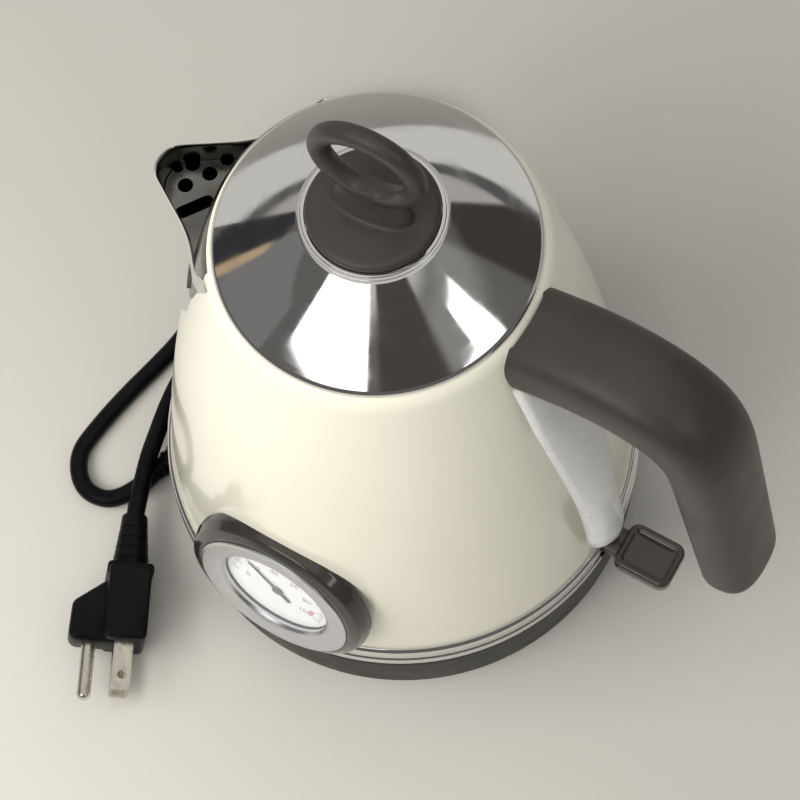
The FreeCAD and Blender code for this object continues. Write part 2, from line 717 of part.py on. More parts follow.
def handle_solid(inset, span=(0.0, 1.0)):
    curve = handle_spine()
    sections = []
    for step in range(9):
        along = span[0] + (span[1] - span[0]) * step / 8
        sections.append(handle_section(curve, along, inset))
    return Part.makeLoft(sections, True, False)


def handle_inner_side():
    """Everything on the body's side of the handle's parting surface."""
    curve = handle_spine()
    start, end = curve.StartPoint, curve.EndPoint
    beyond = end + V(1.5, 0, -8.0)
    corner_low = V(20.0, 0, beyond.z)
    corner_high = V(20.0, 0, start.z)
    outline = Part.Wire([
        curve.toShape(),
        Part.LineSegment(end, beyond).toShape(),
        Part.LineSegment(beyond, corner_low).toShape(),
        Part.LineSegment(corner_low, corner_high).toShape(),
        Part.LineSegment(corner_high, start).toShape(),
    ])
    slab = Part.Face(outline).extrude(V(0, 60, 0))
    slab.translate(V(0, -30, 0))
    return slab


def handle_halves():
    """The hollow handle, trimmed to the body's wall and parted along its spine."""
    whole = handle_solid(0)
    whole = whole.makeFillet(3.5, end_edges(whole))
    hollow = whole.cut(handle_solid(HANDLE_WALL, (-0.02, 0.95)))
    floor = box((60.0, 66.0), (-11.0, 11.0), (160.0, 185.0)).common(handle_solid(1.5, (0.0, 0.5)))
    hollow = hollow.fuse(floor).cut(body_space())
    hollow = hollow.cut(handle_screw_axis(2.1))
    inner_side = handle_inner_side()
    outer = hollow.cut(inner_side)
    inner = hollow.common(inner_side)
    return [max(half.Solids, key=lambda solid: solid.Volume) for half in (outer, inner)]


def end_edges(shape):
    """Edges of the handle's free end."""
    tip = V(HANDLE_SPINE[-1][0], 0, HANDLE_SPINE[-1][1])
    return [edge for edge in shape.Edges if (edge.CenterOfMass - tip).Length < 4.0]


def make_handle_bracket():
    plate = box((48.0, 58.0), (-9.0, 9.0), (163.5, 178.5))
    plate = plate.cut(body_space())
    plate = plate.common(handle_solid(HANDLE_WALL + 0.1, (-0.02, 0.6)))
    return plate.cut(handle_screw_axis(2.1))


def handle_screw_axis(radius):
    """Cylinder along the screw that holds the handle to the body."""
    return Part.makeCylinder(radius, 22.6, V(44.4, 0, HANDLE_SCREW_Z), X_AXIS)


def make_handle_screw():
    shank = handle_screw_axis(2.0)
    head = Part.makeCylinder(3.6, 2.5, V(66.2, 0, HANDLE_SCREW_Z), X_AXIS)
    return fused([shank, head])


# ---- thermometer -----------------------------------------------------------------------------
def make_thermo_housing():
    housing = turned([
        (0, -14.0), (BEZEL_BACK_R, -14.0), (BEZEL_BACK_R, -2.0),
        (BEZEL_BACK_R - 0.9, 2.2, "via"), (BEZEL_FRONT_R, 4.4),
        (FACE_RING_R, 4.4), (FACE_RING_R, 2.4), (DIAL_R + 0.6, 2.4), (DIAL_R + 0.6, 0.8), (0, 0.8),
    ])
    housing = on_thermometer(housing.cut(rod(3.1, (-20, 10))))
    return housing.cut(trim_ring_space()).cut(body_space())


def make_thermo_face_ring():
    ring = turned([
        (DIAL_R + 0.1, 2.5), (FACE_RING_R - 0.05, 2.5), (FACE_RING_R - 0.05, 4.8),
        (FACE_RING_R - 0.7, 5.3), (DIAL_R + 1.6, 4.6), (DIAL_R + 0.1, 3.5),
    ])
    return on_thermometer(ring)


def make_thermo_dial():
    return on_thermometer(turned([(0.8, 0.9), (DIAL_R, 0.9), (DIAL_R, 1.5), (0.8, 1.5)]))


def make_thermo_glass():
    return on_thermometer(rod(DIAL_R, (2.6, 3.4)))


def make_thermo_probe():
    stem = rod(2.9, (-38.0, 0.7))
    collar = rod(3.0, (-12.0, -1.0))
    return on_thermometer(fused([stem, collar]))


def make_thermo_nut():
    return on_thermometer(hexagon(12.0, (-6.0, -1.5)).cut(rod(3.0, (-20, 5))))


def make_thermo_needle():
    hub = rod(2.0, (1.8, 2.3))
    spindle = rod(0.6, (1.0, 1.9))
    pointer = Part.Face(Part.makePolygon([
        V(-1.0, -6.0, 1.8), V(1.0, -6.0, 1.8), V(0.35, 14.5, 1.8), V(-0.35, 14.5, 1.8), V(-1.0, -6.0, 1.8),
    ])).extrude(V(0, 0, 0.3))
    needle = fused([hub, spindle, pointer])
    needle.rotate(CENTRE, Z_AXIS, NEEDLE_TURN)
    return on_thermometer(needle)


# ---- lid -------------------------------------------------------------------------------------
def lid_cone(radius):
    """Height of the lid's outside at a radius."""
    top_r, top_z = LID_TOP
    share = (LID_R - radius) / (LID_R - top_r)
    return LID_RIM_Z + 1.4 + share * (top_z - LID_RIM_Z - 1.4) + 2.4 * share * (1 - share)


def make_lid_cover():
    top_r, top_z = LID_TOP
    mid_r = (LID_R + top_r) / 2
    return turned([
        (LID_R - 0.9, LID_RIM_Z), (LID_R, LID_RIM_Z + 0.6, "via"), (LID_R - 0.3, LID_RIM_Z + 1.4),
        (mid_r, lid_cone(mid_r), "via"), (top_r, top_z), (19.6, top_z),
        (19.6, 201.2), (8.0, 201.2), (8.0, 200.2), (top_r - 0.6, 200.2), (top_r - 0.4, 202.6),
        (mid_r, lid_cone(mid_r) - 0.9, "via"), (LID_R - 1.8, LID_RIM_Z + 1.0), (LID_R - 1.8, LID_RIM_Z),
    ])


def make_lid_collar():
    return turned([
        (KNOB_R + 0.1, 202.4), (19.5, 202.4), (19.5, 203.9), (20.9, 203.9),
        (20.9, 204.3), (20.3, 204.9), (KNOB_R + 0.1, 204.9),
    ])


def make_lid_plate():
    return turned([
        (0, 176.0), (40.9, 176.0), (42.1, 177.0), (42.1, LID_RIM_Z), (44.8, LID_RIM_Z),
        (44.8, LID_RIM_Z + 0.9), (41.1, LID_RIM_Z + 0.9), (41.1, 177.0), (0, 177.0),
    ])


def make_lid_seal():
    return turned([
        (42.2, 178.4), (43.9, 178.4), (45.4, 177.4), (45.4, 178.2),
        (44.1, 179.6), (45.4, 180.6), (45.4, 181.4), (43.9, 182.4), (42.2, 182.4),
    ])


def make_knob():
    low, high = KNOB_Z
    disc = turned([
        (0, low), (KNOB_R, low), (KNOB_R, high - 1.6), (KNOB_R - 0.5, high - 0.5, "via"),
        (KNOB_R - 1.6, high), (0, high + 1.4),
    ])
    ring = Part.makeTorus(RING_R, RING_TUBE_R, V(0, 0, RING_Z), Y_AXIS)
    bottom_z = RING_Z - RING_R
    foot_sections = []
    for half_length, half_width, z in ((12.5, 7.4, high), (10.5, 4.2, high + 3.5), (8.5, 2.9, bottom_z)):
        outline = Part.makeCircle(1.0, CENTRE, Z_AXIS)
        matrix = FreeCAD.Matrix()
        matrix.scale(half_length, half_width, 1.0)
        outline = outline.transformGeometry(matrix)
        outline.translate(V(0, 0, z))
        foot_sections.append(Part.Wire([outline]))
    foot = Part.makeLoft(foot_sections, True, False)
    hole = Part.makeCylinder(RING_R - RING_TUBE_R, 30.0, V(0, -15.0, RING_Z), Y_AXIS)
    knob = fused([disc, ring, foot.cut(hole)])
    knob = knob.cut(rod(1.6, (low - 1, high + 3)))
    knob.rotate(CENTRE, Z_AXIS, RING_TURN)
    return knob


def make_knob_screw():
    shank = rod(1.55, (200.2, 208.0))
    head = rod(4.0, (198.2, 200.2))
    return fused([shank, head])


# ---- everything ------------------------------------------------------------------------------
def make_parts():
    handle_outer, handle_inner = handle_halves()
    return {
        "base_upper_shell": make_base_upper_shell(),
        "base_lower_cover": make_base_lower_cover(),
        "base_pads": make_base_pads(),
        "base_screws": make_base_screws(),
        "base_connector": make_base_connector(),
        "base_contacts": make_base_contacts(),
        "base_terminal_block": make_terminal_block(),
        "connector_shutter": make_connector_shutter(),
        "cord_gland": make_cord_gland(),
        "cord_near": make_cord(ROUTE_FROM_BASE),
        "cord_coil": make_cord_coil(),
        "cord_far": make_cord(ROUTE_TO_PLUG),
        "cord_tie": make_cord_tie(),
        "plug_relief": make_plug_relief(),
        "plug_body": make_plug_body(),
        "plug_blades": make_plug_blades(),
        "plug_ground_pin": make_plug_ground_pin(),
        "body_shell": make_body_shell(),
        "spout": make_spout(),
        "spout_strainer": make_spout_strainer(),
        "water_gauge": make_water_gauge(),
        "gauge_gasket": make_gauge_gasket(),
        "trim_ring": make_trim_ring(),
        "bottom_cover": make_bottom_cover(),
        "kettle_screws": make_kettle_screws(),
        "heating_plate": make_heating_plate(),
        "heating_element": make_heating_element(),
        "control_unit": make_control_unit(),
        "bimetal_disc": make_bimetal_disc(),
        "kettle_connector": make_kettle_connector(),
        "steam_tube": make_steam_tube(),
        "switch_lever": make_switch_lever(),
        "switch_pin": make_switch_pin(),
        "switch_bracket": make_switch_bracket(),
        "handle_outer": handle_outer,
        "handle_inner": handle_inner,
        "handle_bracket": make_handle_bracket(),
        "handle_screw": make_handle_screw(),
        "thermo_housing": make_thermo_housing(),
        "thermo_face_ring": make_thermo_face_ring(),
        "thermo_dial": make_thermo_dial(),
        "thermo_glass": make_thermo_glass(),
        "thermo_probe": make_thermo_probe(),
        "thermo_nut": make_thermo_nut(),
        "thermo_needle": make_thermo_needle(),
        "lid_cover": make_lid_cover(),
        "lid_collar": make_lid_collar(),
        "lid_plate": make_lid_plate(),
        "lid_seal": make_lid_seal(),
        "knob": make_knob(),
        "knob_screw": make_knob_screw(),
    }


os.makedirs("parts", exist_ok=True)
for name, shape in make_parts().items():
    shape.exportStep("parts/" + name + ".step")
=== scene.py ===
"""Electric kettle on its power base: the look of every piece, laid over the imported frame.

Lengths are millimetres in the row frame until a mesh is made, when they become metres. The
kettle's axis is Z, its handle points to +X, its spout to -X and its thermometer faces -Y.
"""

import bmesh
import bpy
import json
import math
from mathutils import Matrix, Vector


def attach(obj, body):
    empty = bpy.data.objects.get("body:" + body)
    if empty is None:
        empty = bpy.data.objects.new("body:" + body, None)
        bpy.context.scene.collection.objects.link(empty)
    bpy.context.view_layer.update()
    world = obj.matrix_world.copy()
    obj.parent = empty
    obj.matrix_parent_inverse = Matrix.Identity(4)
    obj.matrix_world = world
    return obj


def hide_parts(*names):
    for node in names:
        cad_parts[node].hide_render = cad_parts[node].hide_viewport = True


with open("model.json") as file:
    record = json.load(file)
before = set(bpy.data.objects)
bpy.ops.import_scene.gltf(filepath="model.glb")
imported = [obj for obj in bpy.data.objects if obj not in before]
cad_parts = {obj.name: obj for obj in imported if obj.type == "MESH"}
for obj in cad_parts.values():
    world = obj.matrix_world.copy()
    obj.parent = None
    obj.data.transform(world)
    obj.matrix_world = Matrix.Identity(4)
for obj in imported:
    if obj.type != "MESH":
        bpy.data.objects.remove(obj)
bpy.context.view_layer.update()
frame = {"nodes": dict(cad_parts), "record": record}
MM = 0.001
Y_AXIS = Vector((0, 1, 0))
Z_AXIS = Vector((0, 0, 1))

# ---- dimensions shared with the frame ----
BODY_POINTS = ((79.2, 37.3), (71.6, 88.2), (49.0, 183.0))
BODY_LOW_Z = 30.0
LIP_ROLL_Z = 179.4
LIP_TOP = (46.9, 184.1)
NECK_R = 45.8
WALL = 1.0
TRIM_R = 81.7
TRIM_TOP_Z = 37.6
LID_R = 47.1
LID_RIM_Z = 184.5
LID_TOP = (20.6, 203.8)
THERMO_Z = 65.0
THERMO_TILT = 10.9


def circle_through(first, second, third):
    """Centre and radius of the circle through three (r, z) points."""
    (ax, ay), (bx, by), (cx, cy) = first, second, third
    span = 2 * (ax * (by - cy) + bx * (cy - ay) + cx * (ay - by))
    a2, b2, c2 = ax * ax + ay * ay, bx * bx + by * by, cx * cx + cy * cy
    ux = (a2 * (by - cy) + b2 * (cy - ay) + c2 * (ay - by)) / span
    uy = (a2 * (cx - bx) + b2 * (ax - cx) + c2 * (bx - ax)) / span
    return ux, uy, math.hypot(ax - ux, ay - uy)


BODY_ARC = circle_through(*BODY_POINTS)


def body_radius(z):
    """Outer radius of the kettle's body at a height."""
    cx, cz, radius = BODY_ARC
    return cx + math.sqrt(radius ** 2 - (z - cz) ** 2)


def heading(degrees, length=1.0):
    return Vector((math.cos(math.radians(degrees)), math.sin(math.radians(degrees)), 0)) * length


def rotation(degrees, axis):
    return Matrix.Rotation(math.radians(degrees), 4, axis)


def standing_on(start, direction):
    """Placement that puts the origin at a point and turns Z along a direction."""
    return Matrix.Translation(start) @ direction.to_track_quat("Z", "Y").to_matrix().to_4x4()


def last_inside(inside, low, high, rounds):
    """Where a test that holds at the low value stops holding, found by halving."""
    for _ in range(rounds):
        middle = (low + high) / 2
        if inside(middle):
            low = middle
        else:
            high = middle
    return high


# ---- mesh helpers ----
def linked(name, data):
    """New object in the scene."""
    piece = bpy.data.objects.new(name, data)
    bpy.context.scene.collection.objects.link(piece)
    return piece


def mesh_of(data):
    """Mesh of a curve or a text."""
    source = linked("source", data)
    graph = bpy.context.evaluated_depsgraph_get()
    mesh = bpy.data.meshes.new_from_object(source.evaluated_get(graph))
    bpy.data.objects.remove(source)
    bpy.data.curves.remove(data)
    return mesh


def shade(work, sharp):
    """Smooth faces, with edges sharp above an angle."""
    for face in work.faces:
        face.smooth = True
    for edge in work.edges:
        edge.smooth = len(edge.link_faces) != 2 or edge.calc_face_angle(0) <= math.radians(sharp)


def finish_mesh(name, work, materials, sharp):
    """Turns a bmesh in millimetres into a shaded object."""
    bmesh.ops.remove_doubles(work, verts=work.verts, dist=0.002)
    bmesh.ops.recalc_face_normals(work, faces=work.faces)
    shade(work, sharp)
    bmesh.ops.scale(work, vec=(MM, MM, MM), verts=work.verts)
    mesh = bpy.data.meshes.new(name)
    work.to_mesh(mesh)
    work.free()
    for entry in materials if isinstance(materials, (list, tuple)) else [materials]:
        mesh.materials.append(entry)
    return linked(name, mesh)


def mesh_from(name, points, faces, materials, sharp=35.0, place=None, face_slots=None):
    work = bmesh.new()
    verts = [work.verts.new(place @ Vector(point) if place else point) for point in points]
    for index, face in enumerate(faces):
        if len(set(face)) > 2:
            made = work.faces.new([verts[corner] for corner in face])
            if face_slots:
                made.material_index = face_slots[index]
    return finish_mesh(name, work, materials, sharp)


def rounded(points, steps=5):
    """Closed outline with each corner that has a third number rounded to that radius."""
    outline = []
    count = len(points)
    for index, point in enumerate(points):
        corner = Vector(point[:2])
        radius = point[2] if len(point) > 2 else 0
        before = Vector(points[index - 1][:2]) - corner
        after = Vector(points[(index + 1) % count][:2]) - corner
        if not radius or before.length < 1e-6 or after.length < 1e-6:
            outline.append(tuple(corner))
            continue
        before.normalize()
        after.normalize()
        half = before.angle(after) / 2
        reach = radius / math.tan(half)
        start, end = corner + before * reach, corner + after * reach
        centre = corner + (before + after).normalized() * (radius / math.sin(half))
        from_start, from_end = start - centre, end - centre
        sweep = from_start.angle(from_end)
        for step in range(steps + 1):
            share = step / steps
            mixed = from_start * math.sin((1 - share) * sweep) + from_end * math.sin(share * sweep)
            outline.append(tuple(centre + mixed / math.sin(sweep)))
    return outline


def grid_faces(rows, columns, close_rows=False, close_columns=True):
    """Quads of a grid of points stored row by row."""
    faces = []
    for row in range(rows if close_rows else rows - 1):
        below = row * columns
        above = ((row + 1) % rows) * columns
        for column in range(columns if close_columns else columns - 1):
            after = (column + 1) % columns
            faces.append((below + column, below + after, above + after, above + column))
    return faces


def strip(first, second):
    """Quads between two rows of point numbers."""
    return [(a, b, d, c) for a, b, c, d in zip(first, first[1:], second, second[1:])]


def fan(ring, tip):
    """Triangles between a closed ring of point numbers and one point."""
    return [(corner, ring[(index + 1) % len(ring)], tip) for index, corner in enumerate(ring)]


def circle(radius, centre=(0, 0), steps=28):
    turn = 2 * math.pi / steps
    return [(centre[0] + radius * math.cos(turn * step), centre[1] + radius * math.sin(turn * step))
            for step in range(steps)]


def turned(name, profile, material, place=None, turns=192, sharp=35.0):
    """Closed (r, z) outline turned about Z."""
    points = [(x, y, z) for radius, z in profile for x, y in circle(radius, steps=turns)]
    faces = grid_faces(len(profile), turns, close_rows=True)
    return mesh_from(name, points, faces, material, sharp, place)


def stacked(name, layers, centre, material, sharp=40.0):
    """Loops of equal count, one above the other, closed at both ends."""
    points, count = [], len(layers[0][0])
    for loop, z in layers:
        points += [(centre[0] + x, centre[1] + y, z) for x, y in loop]
    faces = grid_faces(len(layers), count)
    faces += [tuple(range(count)), tuple(range((len(layers) - 1) * count, len(layers) * count))]
    return mesh_from(name, points, faces, material, sharp)


def body_outline(low, high, offset, steps):
    """(r, z) points up the body's outside."""
    heights = [low + (high - low) * step / steps for step in range(steps + 1)]
    return [(body_radius(z) + offset, z) for z in heights]


def fuse_tool(piece, tool, operation):
    """Applies one boolean and removes the tool."""
    modifier = piece.modifiers.new("cut", "BOOLEAN")
    modifier.operation = operation
    modifier.object = tool
    modifier.solver = "EXACT"
    apply_modifiers(piece)
    bpy.data.objects.remove(tool)


def apply_modifiers(piece):
    graph = bpy.context.evaluated_depsgraph_get()
    mesh = bpy.data.meshes.new_from_object(piece.evaluated_get(graph))
    piece.modifiers.clear()
    old = piece.data
    piece.data = mesh
    bpy.data.meshes.remove(old)


def reshade(piece, sharp=35.0):
    work = bmesh.new()
    work.from_mesh(piece.data)
    shade(work, sharp)
    work.to_mesh(piece.data)
    work.free()


def block(low, high):
    """Plain box tool for booleans, in millimetres."""
    work = bmesh.new()
    bmesh.ops.create_cube(work, size=1.0)
    size = Vector(high) - Vector(low)
    bmesh.ops.scale(work, vec=size, verts=work.verts)
    bmesh.ops.translate(work, vec=(Vector(high) + Vector(low)) / 2, verts=work.verts)
    return finish_mesh("tool", work, [], 30)


def stands_for(piece, body, *nodes, slot=None):
    """The piece rides on a body and hides the CAD nodes that it replaces."""
    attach(piece, body)
    if nodes:
        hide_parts(*nodes)
    return piece


# ---- materials ----
MAT = {}


class Surface:
    """A Principled material, kept in MAT, built up from noise and bumps in object space."""

    def __init__(self, name, colour, roughness, metallic=0.0, **sockets):
        self.material = MAT[name] = bpy.data.materials.new(name)
        self.material.use_nodes = True
        self.tree = self.material.node_tree
        self.link = self.tree.links.new
        self.shader = self.tree.nodes["Principled BSDF"]
        self.shader.inputs["Base Color"].default_value = (*colour, 1.0)
        self.shader.inputs["Roughness"].default_value = roughness
        self.shader.inputs["Metallic"].default_value = metallic
        for key, value in sockets.items():
            self.shader.inputs[key.replace("_", " ")].default_value = value
        self.place = self.tree.nodes.new("ShaderNodeTexCoord").outputs["Object"]
        self.bump = None

    def noise(self, scale, detail=4.0, stretch=None, roughness=0.55):
        place = self.place
        if stretch:
            mapping = self.tree.nodes.new("ShaderNodeMapping")
            mapping.inputs["Scale"].default_value = stretch
            self.link(self.place, mapping.inputs["Vector"])
            place = mapping.outputs["Vector"]
        node = self.tree.nodes.new("ShaderNodeTexNoise")
        node.inputs["Scale"].default_value = scale
        node.inputs["Detail"].default_value = detail
        node.inputs["Roughness"].default_value = roughness
        self.link(place, node.inputs["Vector"])
        return node.outputs["Fac"]

    def mottle(self, dark, light, scale, **options):
        """Colour that drifts between two tones."""
        ramp = self.tree.nodes.new("ShaderNodeValToRGB")
        ramp.color_ramp.elements[0].position = 0.35
        ramp.color_ramp.elements[0].color = (*dark, 1.0)
        ramp.color_ramp.elements[1].position = 0.65
        ramp.color_ramp.elements[1].color = (*light, 1.0)
        self.link(self.noise(scale, **options), ramp.inputs["Fac"])
        self.link(ramp.outputs["Color"], self.shader.inputs["Base Color"])
        return self

    def uneven_gloss(self, low, high, scale, **options):
        spread = self.tree.nodes.new("ShaderNodeMapRange")
        spread.inputs["From Min"].default_value = 0.3
        spread.inputs["From Max"].default_value = 0.7
        spread.inputs["To Min"].default_value = low
        spread.inputs["To Max"].default_value = high
        self.link(self.noise(scale, **options), spread.inputs["Value"])
        self.link(spread.outputs["Result"], self.shader.inputs["Roughness"])
        return self

    def grain(self, scale, height_mm, strength=1.0, **options):
        """Relief of a given height; each call adds to the one before."""
        bump = self.tree.nodes.new("ShaderNodeBump")
        bump.inputs["Strength"].default_value = strength
        bump.inputs["Distance"].default_value = height_mm * MM
        self.link(self.noise(scale, **options), bump.inputs["Height"])
        if self.bump:
            self.link(self.bump.outputs["Normal"], bump.inputs["Normal"])
        self.link(bump.outputs["Normal"], self.shader.inputs["Normal"])
        self.bump = bump
        return self


def make_materials():
    (Surface("cream_enamel", (0.86, 0.835, 0.7), 0.13, Coat_Weight=0.6, Coat_Roughness=0.05)
     .mottle((0.85, 0.825, 0.69), (0.87, 0.845, 0.715), 14.0, detail=2.0)
     .uneven_gloss(0.12, 0.2, 30.0, detail=3.0).grain(140.0, 0.02, 0.25, detail=1.0))
    (Surface("polished_chrome", (0.8, 0.79, 0.78), 0.04, 1.0)
     .uneven_gloss(0.02, 0.09, 45.0, detail=6.0).grain(900.0, 0.004, 0.18, detail=2.0))
    (Surface("lid_chrome", (0.8, 0.79, 0.78), 0.05, 1.0)
     .uneven_gloss(0.025, 0.11, 60.0, detail=6.0, stretch=(1.0, 1.0, 6.0))
     .grain(700.0, 0.004, 0.2, detail=2.0, stretch=(1.0, 1.0, 8.0)))
    (Surface("satin_chrome", (0.66, 0.67, 0.69), 0.3, 1.0)
     .uneven_gloss(0.24, 0.36, 90.0, detail=5.0).grain(1500.0, 0.01, 0.25, detail=2.0))
    (Surface("steel", (0.58, 0.57, 0.55), 0.28, 1.0)
     .uneven_gloss(0.2, 0.36, 60.0, detail=5.0, stretch=(1.0, 1.0, 12.0))
     .grain(500.0, 0.01, 0.3, detail=3.0, stretch=(1.0, 1.0, 20.0)))
    # Painted shade: the same stainless steel as above with a dark base colour, standing in for the
    # shade and dark reflections inside the spout and on its strainer; the tone also drifts at
    # random.
    (Surface("dark_steel", (0.24, 0.23, 0.22), 0.16, 1.0)
     .mottle((0.13, 0.125, 0.115), (0.24, 0.235, 0.22), 55.0, detail=3.0)
     .uneven_gloss(0.1, 0.28, 90.0, detail=4.0).grain(220.0, 0.03, 0.3, detail=2.0))
    (Surface("handle_plastic", (0.036, 0.031, 0.028), 0.4, Specular_IOR_Level=0.5)
     .mottle((0.032, 0.027, 0.024), (0.041, 0.035, 0.031), 25.0, detail=3.0)
     .uneven_gloss(0.36, 0.46, 60.0, detail=3.0).grain(1000.0, 0.1, 0.6, detail=3.0))
    (Surface("bezel_plastic", (0.032, 0.027, 0.024), 0.1, Coat_Weight=0.5, Coat_Roughness=0.04)
     .mottle((0.029, 0.025, 0.022), (0.035, 0.03, 0.027), 30.0, detail=2.0)
     .uneven_gloss(0.08, 0.16, 50.0, detail=3.0).grain(300.0, 0.01, 0.15, detail=1.0))
    (Surface("switch_plastic", (0.028, 0.024, 0.022), 0.13, Coat_Weight=0.5, Coat_Roughness=0.05)
     .mottle((0.025, 0.021, 0.019), (0.031, 0.026, 0.024), 40.0, detail=2.0)
     .grain(1300.0, 0.02, 0.2, detail=2.0))
    (Surface("dark_plastic", (0.03, 0.027, 0.025), 0.42, Specular_IOR_Level=0.25)
     .mottle((0.018, 0.016, 0.015), (0.025, 0.022, 0.02), 30.0, detail=3.0)
     .uneven_gloss(0.36, 0.48, 70.0, detail=3.0).grain(1500.0, 0.04, 0.3, detail=2.0))
    (Surface("white_plastic", (0.78, 0.76, 0.72), 0.45)
     .mottle((0.74, 0.72, 0.68), (0.8, 0.78, 0.74), 60.0).grain(900.0, 0.02, 0.2))
    (Surface("gauge_plastic", (0.66, 0.675, 0.68), 0.24, Coat_Weight=0.35, Coat_Roughness=0.12)
     .mottle((0.84, 0.85, 0.855), (0.93, 0.94, 0.94), 40.0, detail=1.0, stretch=(1.0, 1.0, 0.3))
     .uneven_gloss(0.2, 0.34, 80.0, detail=3.0))
    (Surface("dial_print", (0.94, 0.95, 0.96), 0.35)
     .mottle((0.93, 0.94, 0.95), (0.95, 0.96, 0.97), 90.0).grain(1500.0, 0.004, 0.15))
    (Surface("ink", (0.34, 0.35, 0.37), 0.4)
     .mottle((0.32, 0.33, 0.35), (0.37, 0.38, 0.4), 200.0))
    (Surface("red_ink", (0.8, 0.42, 0.42), 0.4)
     .mottle((0.76, 0.38, 0.39), (0.84, 0.46, 0.46), 200.0))
    (Surface("glass_clear", (1.0, 1.0, 1.0), 0.02, Alpha=0.08, IOR=1.5)
     .uneven_gloss(0.015, 0.04, 120.0))
    (Surface("cord_vinyl", (0.004, 0.004, 0.0045), 0.4, Specular_IOR_Level=0.1)
     .mottle((0.003, 0.003, 0.0035), (0.006, 0.006, 0.0065), 80.0, detail=3.0)
     .uneven_gloss(0.28, 0.42, 120.0, detail=4.0).grain(900.0, 0.03, 0.25, detail=2.0))
    (Surface("blade_metal", (0.7, 0.67, 0.6), 0.22, 1.0)
     .mottle((0.62, 0.59, 0.52), (0.74, 0.71, 0.64), 300.0, detail=4.0)
     .uneven_gloss(0.16, 0.34, 300.0, detail=4.0)
     .grain(900.0, 0.01, 0.3, stretch=(1.0, 1.0, 6.0)))
    (Surface("brass_contact", (0.72, 0.56, 0.28), 0.3, 1.0)
     .mottle((0.66, 0.5, 0.24), (0.76, 0.6, 0.32), 120.0).grain(700.0, 0.01, 0.3))
    (Surface("aluminium_cast", (0.6, 0.6, 0.6), 0.5, 1.0)
     .mottle((0.52, 0.52, 0.52), (0.66, 0.66, 0.66), 150.0).grain(400.0, 0.05, 0.5))
    (Surface("seal_rubber", (0.55, 0.55, 0.53), 0.6)
     .mottle((0.5, 0.5, 0.48), (0.6, 0.6, 0.58), 90.0).grain(900.0, 0.03, 0.3))
    (Surface("pad_rubber", (0.035, 0.035, 0.036), 0.7)
     .mottle((0.03, 0.03, 0.03), (0.045, 0.045, 0.046), 90.0).grain(900.0, 0.05, 0.4))
    (Surface("needle_paint", (0.1, 0.1, 0.11), 0.3)
     .mottle((0.09, 0.09, 0.1), (0.12, 0.12, 0.13), 200.0))


make_materials()

# Every CAD node takes the material of its slot; the pieces below replace the ones that show most.
SLOT_MATERIAL = {"dial_white": "dial_print", "needle_dark": "needle_paint"}
for subpart in frame["record"]["subparts"]:
    node_mesh = frame["nodes"][subpart["node"]].data
    slot_name = subpart["material_slot"]
    node_mesh.materials.clear()
    node_mesh.materials.append(MAT[SLOT_MATERIAL.get(slot_name, slot_name)])


# ---- kettle body ----
def make_body():
    outside = body_outline(BODY_LOW_Z, LIP_ROLL_Z, 0.0, 40)
    start, bend, end = (body_radius(LIP_ROLL_Z), LIP_ROLL_Z), (49.0, 182.8), LIP_TOP
    rim = []
    for step in range(1, 11):
        share = step / 10
        rim.append(tuple((1 - share) ** 2 * a + 2 * share * (1 - share) * b + share ** 2 * c
                         for a, b, c in zip(start, bend, end)))
    rim += [(46.3, 184.1), (45.9, 183.8), (NECK_R, 183.3)]
    neck = [(NECK_R, 174.3), (NECK_R + 0.5, 174.0), (NECK_R + WALL, 174.3), (NECK_R + WALL, 181.0)]
    inside = body_outline(BODY_LOW_Z, 180.5, -WALL, 36)[::-1]
    body = turned("body", outside + rim + neck + inside, MAT["cream_enamel"], turns=256)
    fuse_tool(body, block((-75, -15, 122), (-45, 15, 158)), "DIFFERENCE")
    body.data.materials.append(MAT["steel"])
    for face in body.data.polygons:
        centre = face.center / MM
        radius = math.hypot(centre.x, centre.y)
        if centre.z < 180.8 and radius < body_radius(max(centre.z, BODY_LOW_Z)) - 0.7:
            face.material_index = 1
    return stands_for(body, "kettle", "body_shell", slot="cream_enamel")


make_body()


# ---- spout ----
SPOUT_RIM_Z = 165.0
SPOUT_SIDE = math.radians(58.0)    # direction of each side's normal, from the spout's centre line
SPOUT_SHAPE = (                    # height, reach of the tip, radius of its nose
    (104.0, 65.5, 18.0), (128.0, 71.2, 12.5), (148.0, 74.4, 9.5), (165.0, 76.5, 8.0),
    (190.0, 79.0, 7.5))
SPOUT_EDGE = (                     # degrees from the centre line, height of the sheet's lower edge
    (0, 109.0), (20, 118.0), (33, 145.0), (35.5, 160.0), (38.7, 169.6), (42.2, 176.0),
    (45.2, 180.6))
FLARE = 8.0                        # how far the spout and the body run into each other


def between(table, z):
    """Values of a table of (z, a, b) at a height."""
    for low, high in zip(table, table[1:]):
        if z <= high[0] or high is table[-1]:
            share = (z - low[0]) / (high[0] - low[0])
            return [a + (b - a) * share for a, b in zip(low[1:], high[1:])]


def spout_radius(angle, z):
    """Distance from the axis to the spout's outside; the angle is from the centre line."""
    tip, nose = between(SPOUT_SHAPE, z)
    centre = tip - nose
    touch = math.atan2(nose * math.sin(SPOUT_SIDE), centre + nose * math.cos(SPOUT_SIDE))
    angle = abs(angle)
    if angle <= touch:
        across = centre * math.sin(angle)
        return centre * math.cos(angle) + math.sqrt(max(nose ** 2 - across ** 2, 0))
    return (centre * math.cos(SPOUT_SIDE) + nose) / math.cos(SPOUT_SIDE - angle)


def flared_radius(angle, z):
    """The spout's outside, run smoothly into the body's."""
    spout, body = spout_radius(angle, z), body_radius(z)
    blend = max(FLARE - abs(spout - body), 0) / FLARE
    return max(spout, body) + blend * blend * FLARE / 4


def smooth_step(low, high, value):
    share = min(max((value - low) / (high - low), 0), 1)
    return share * share * (3 - 2 * share)


def spout_rim_z(angle):
    return SPOUT_RIM_Z + 16.2 * smooth_step(26.0, 43.0, abs(math.degrees(angle)))


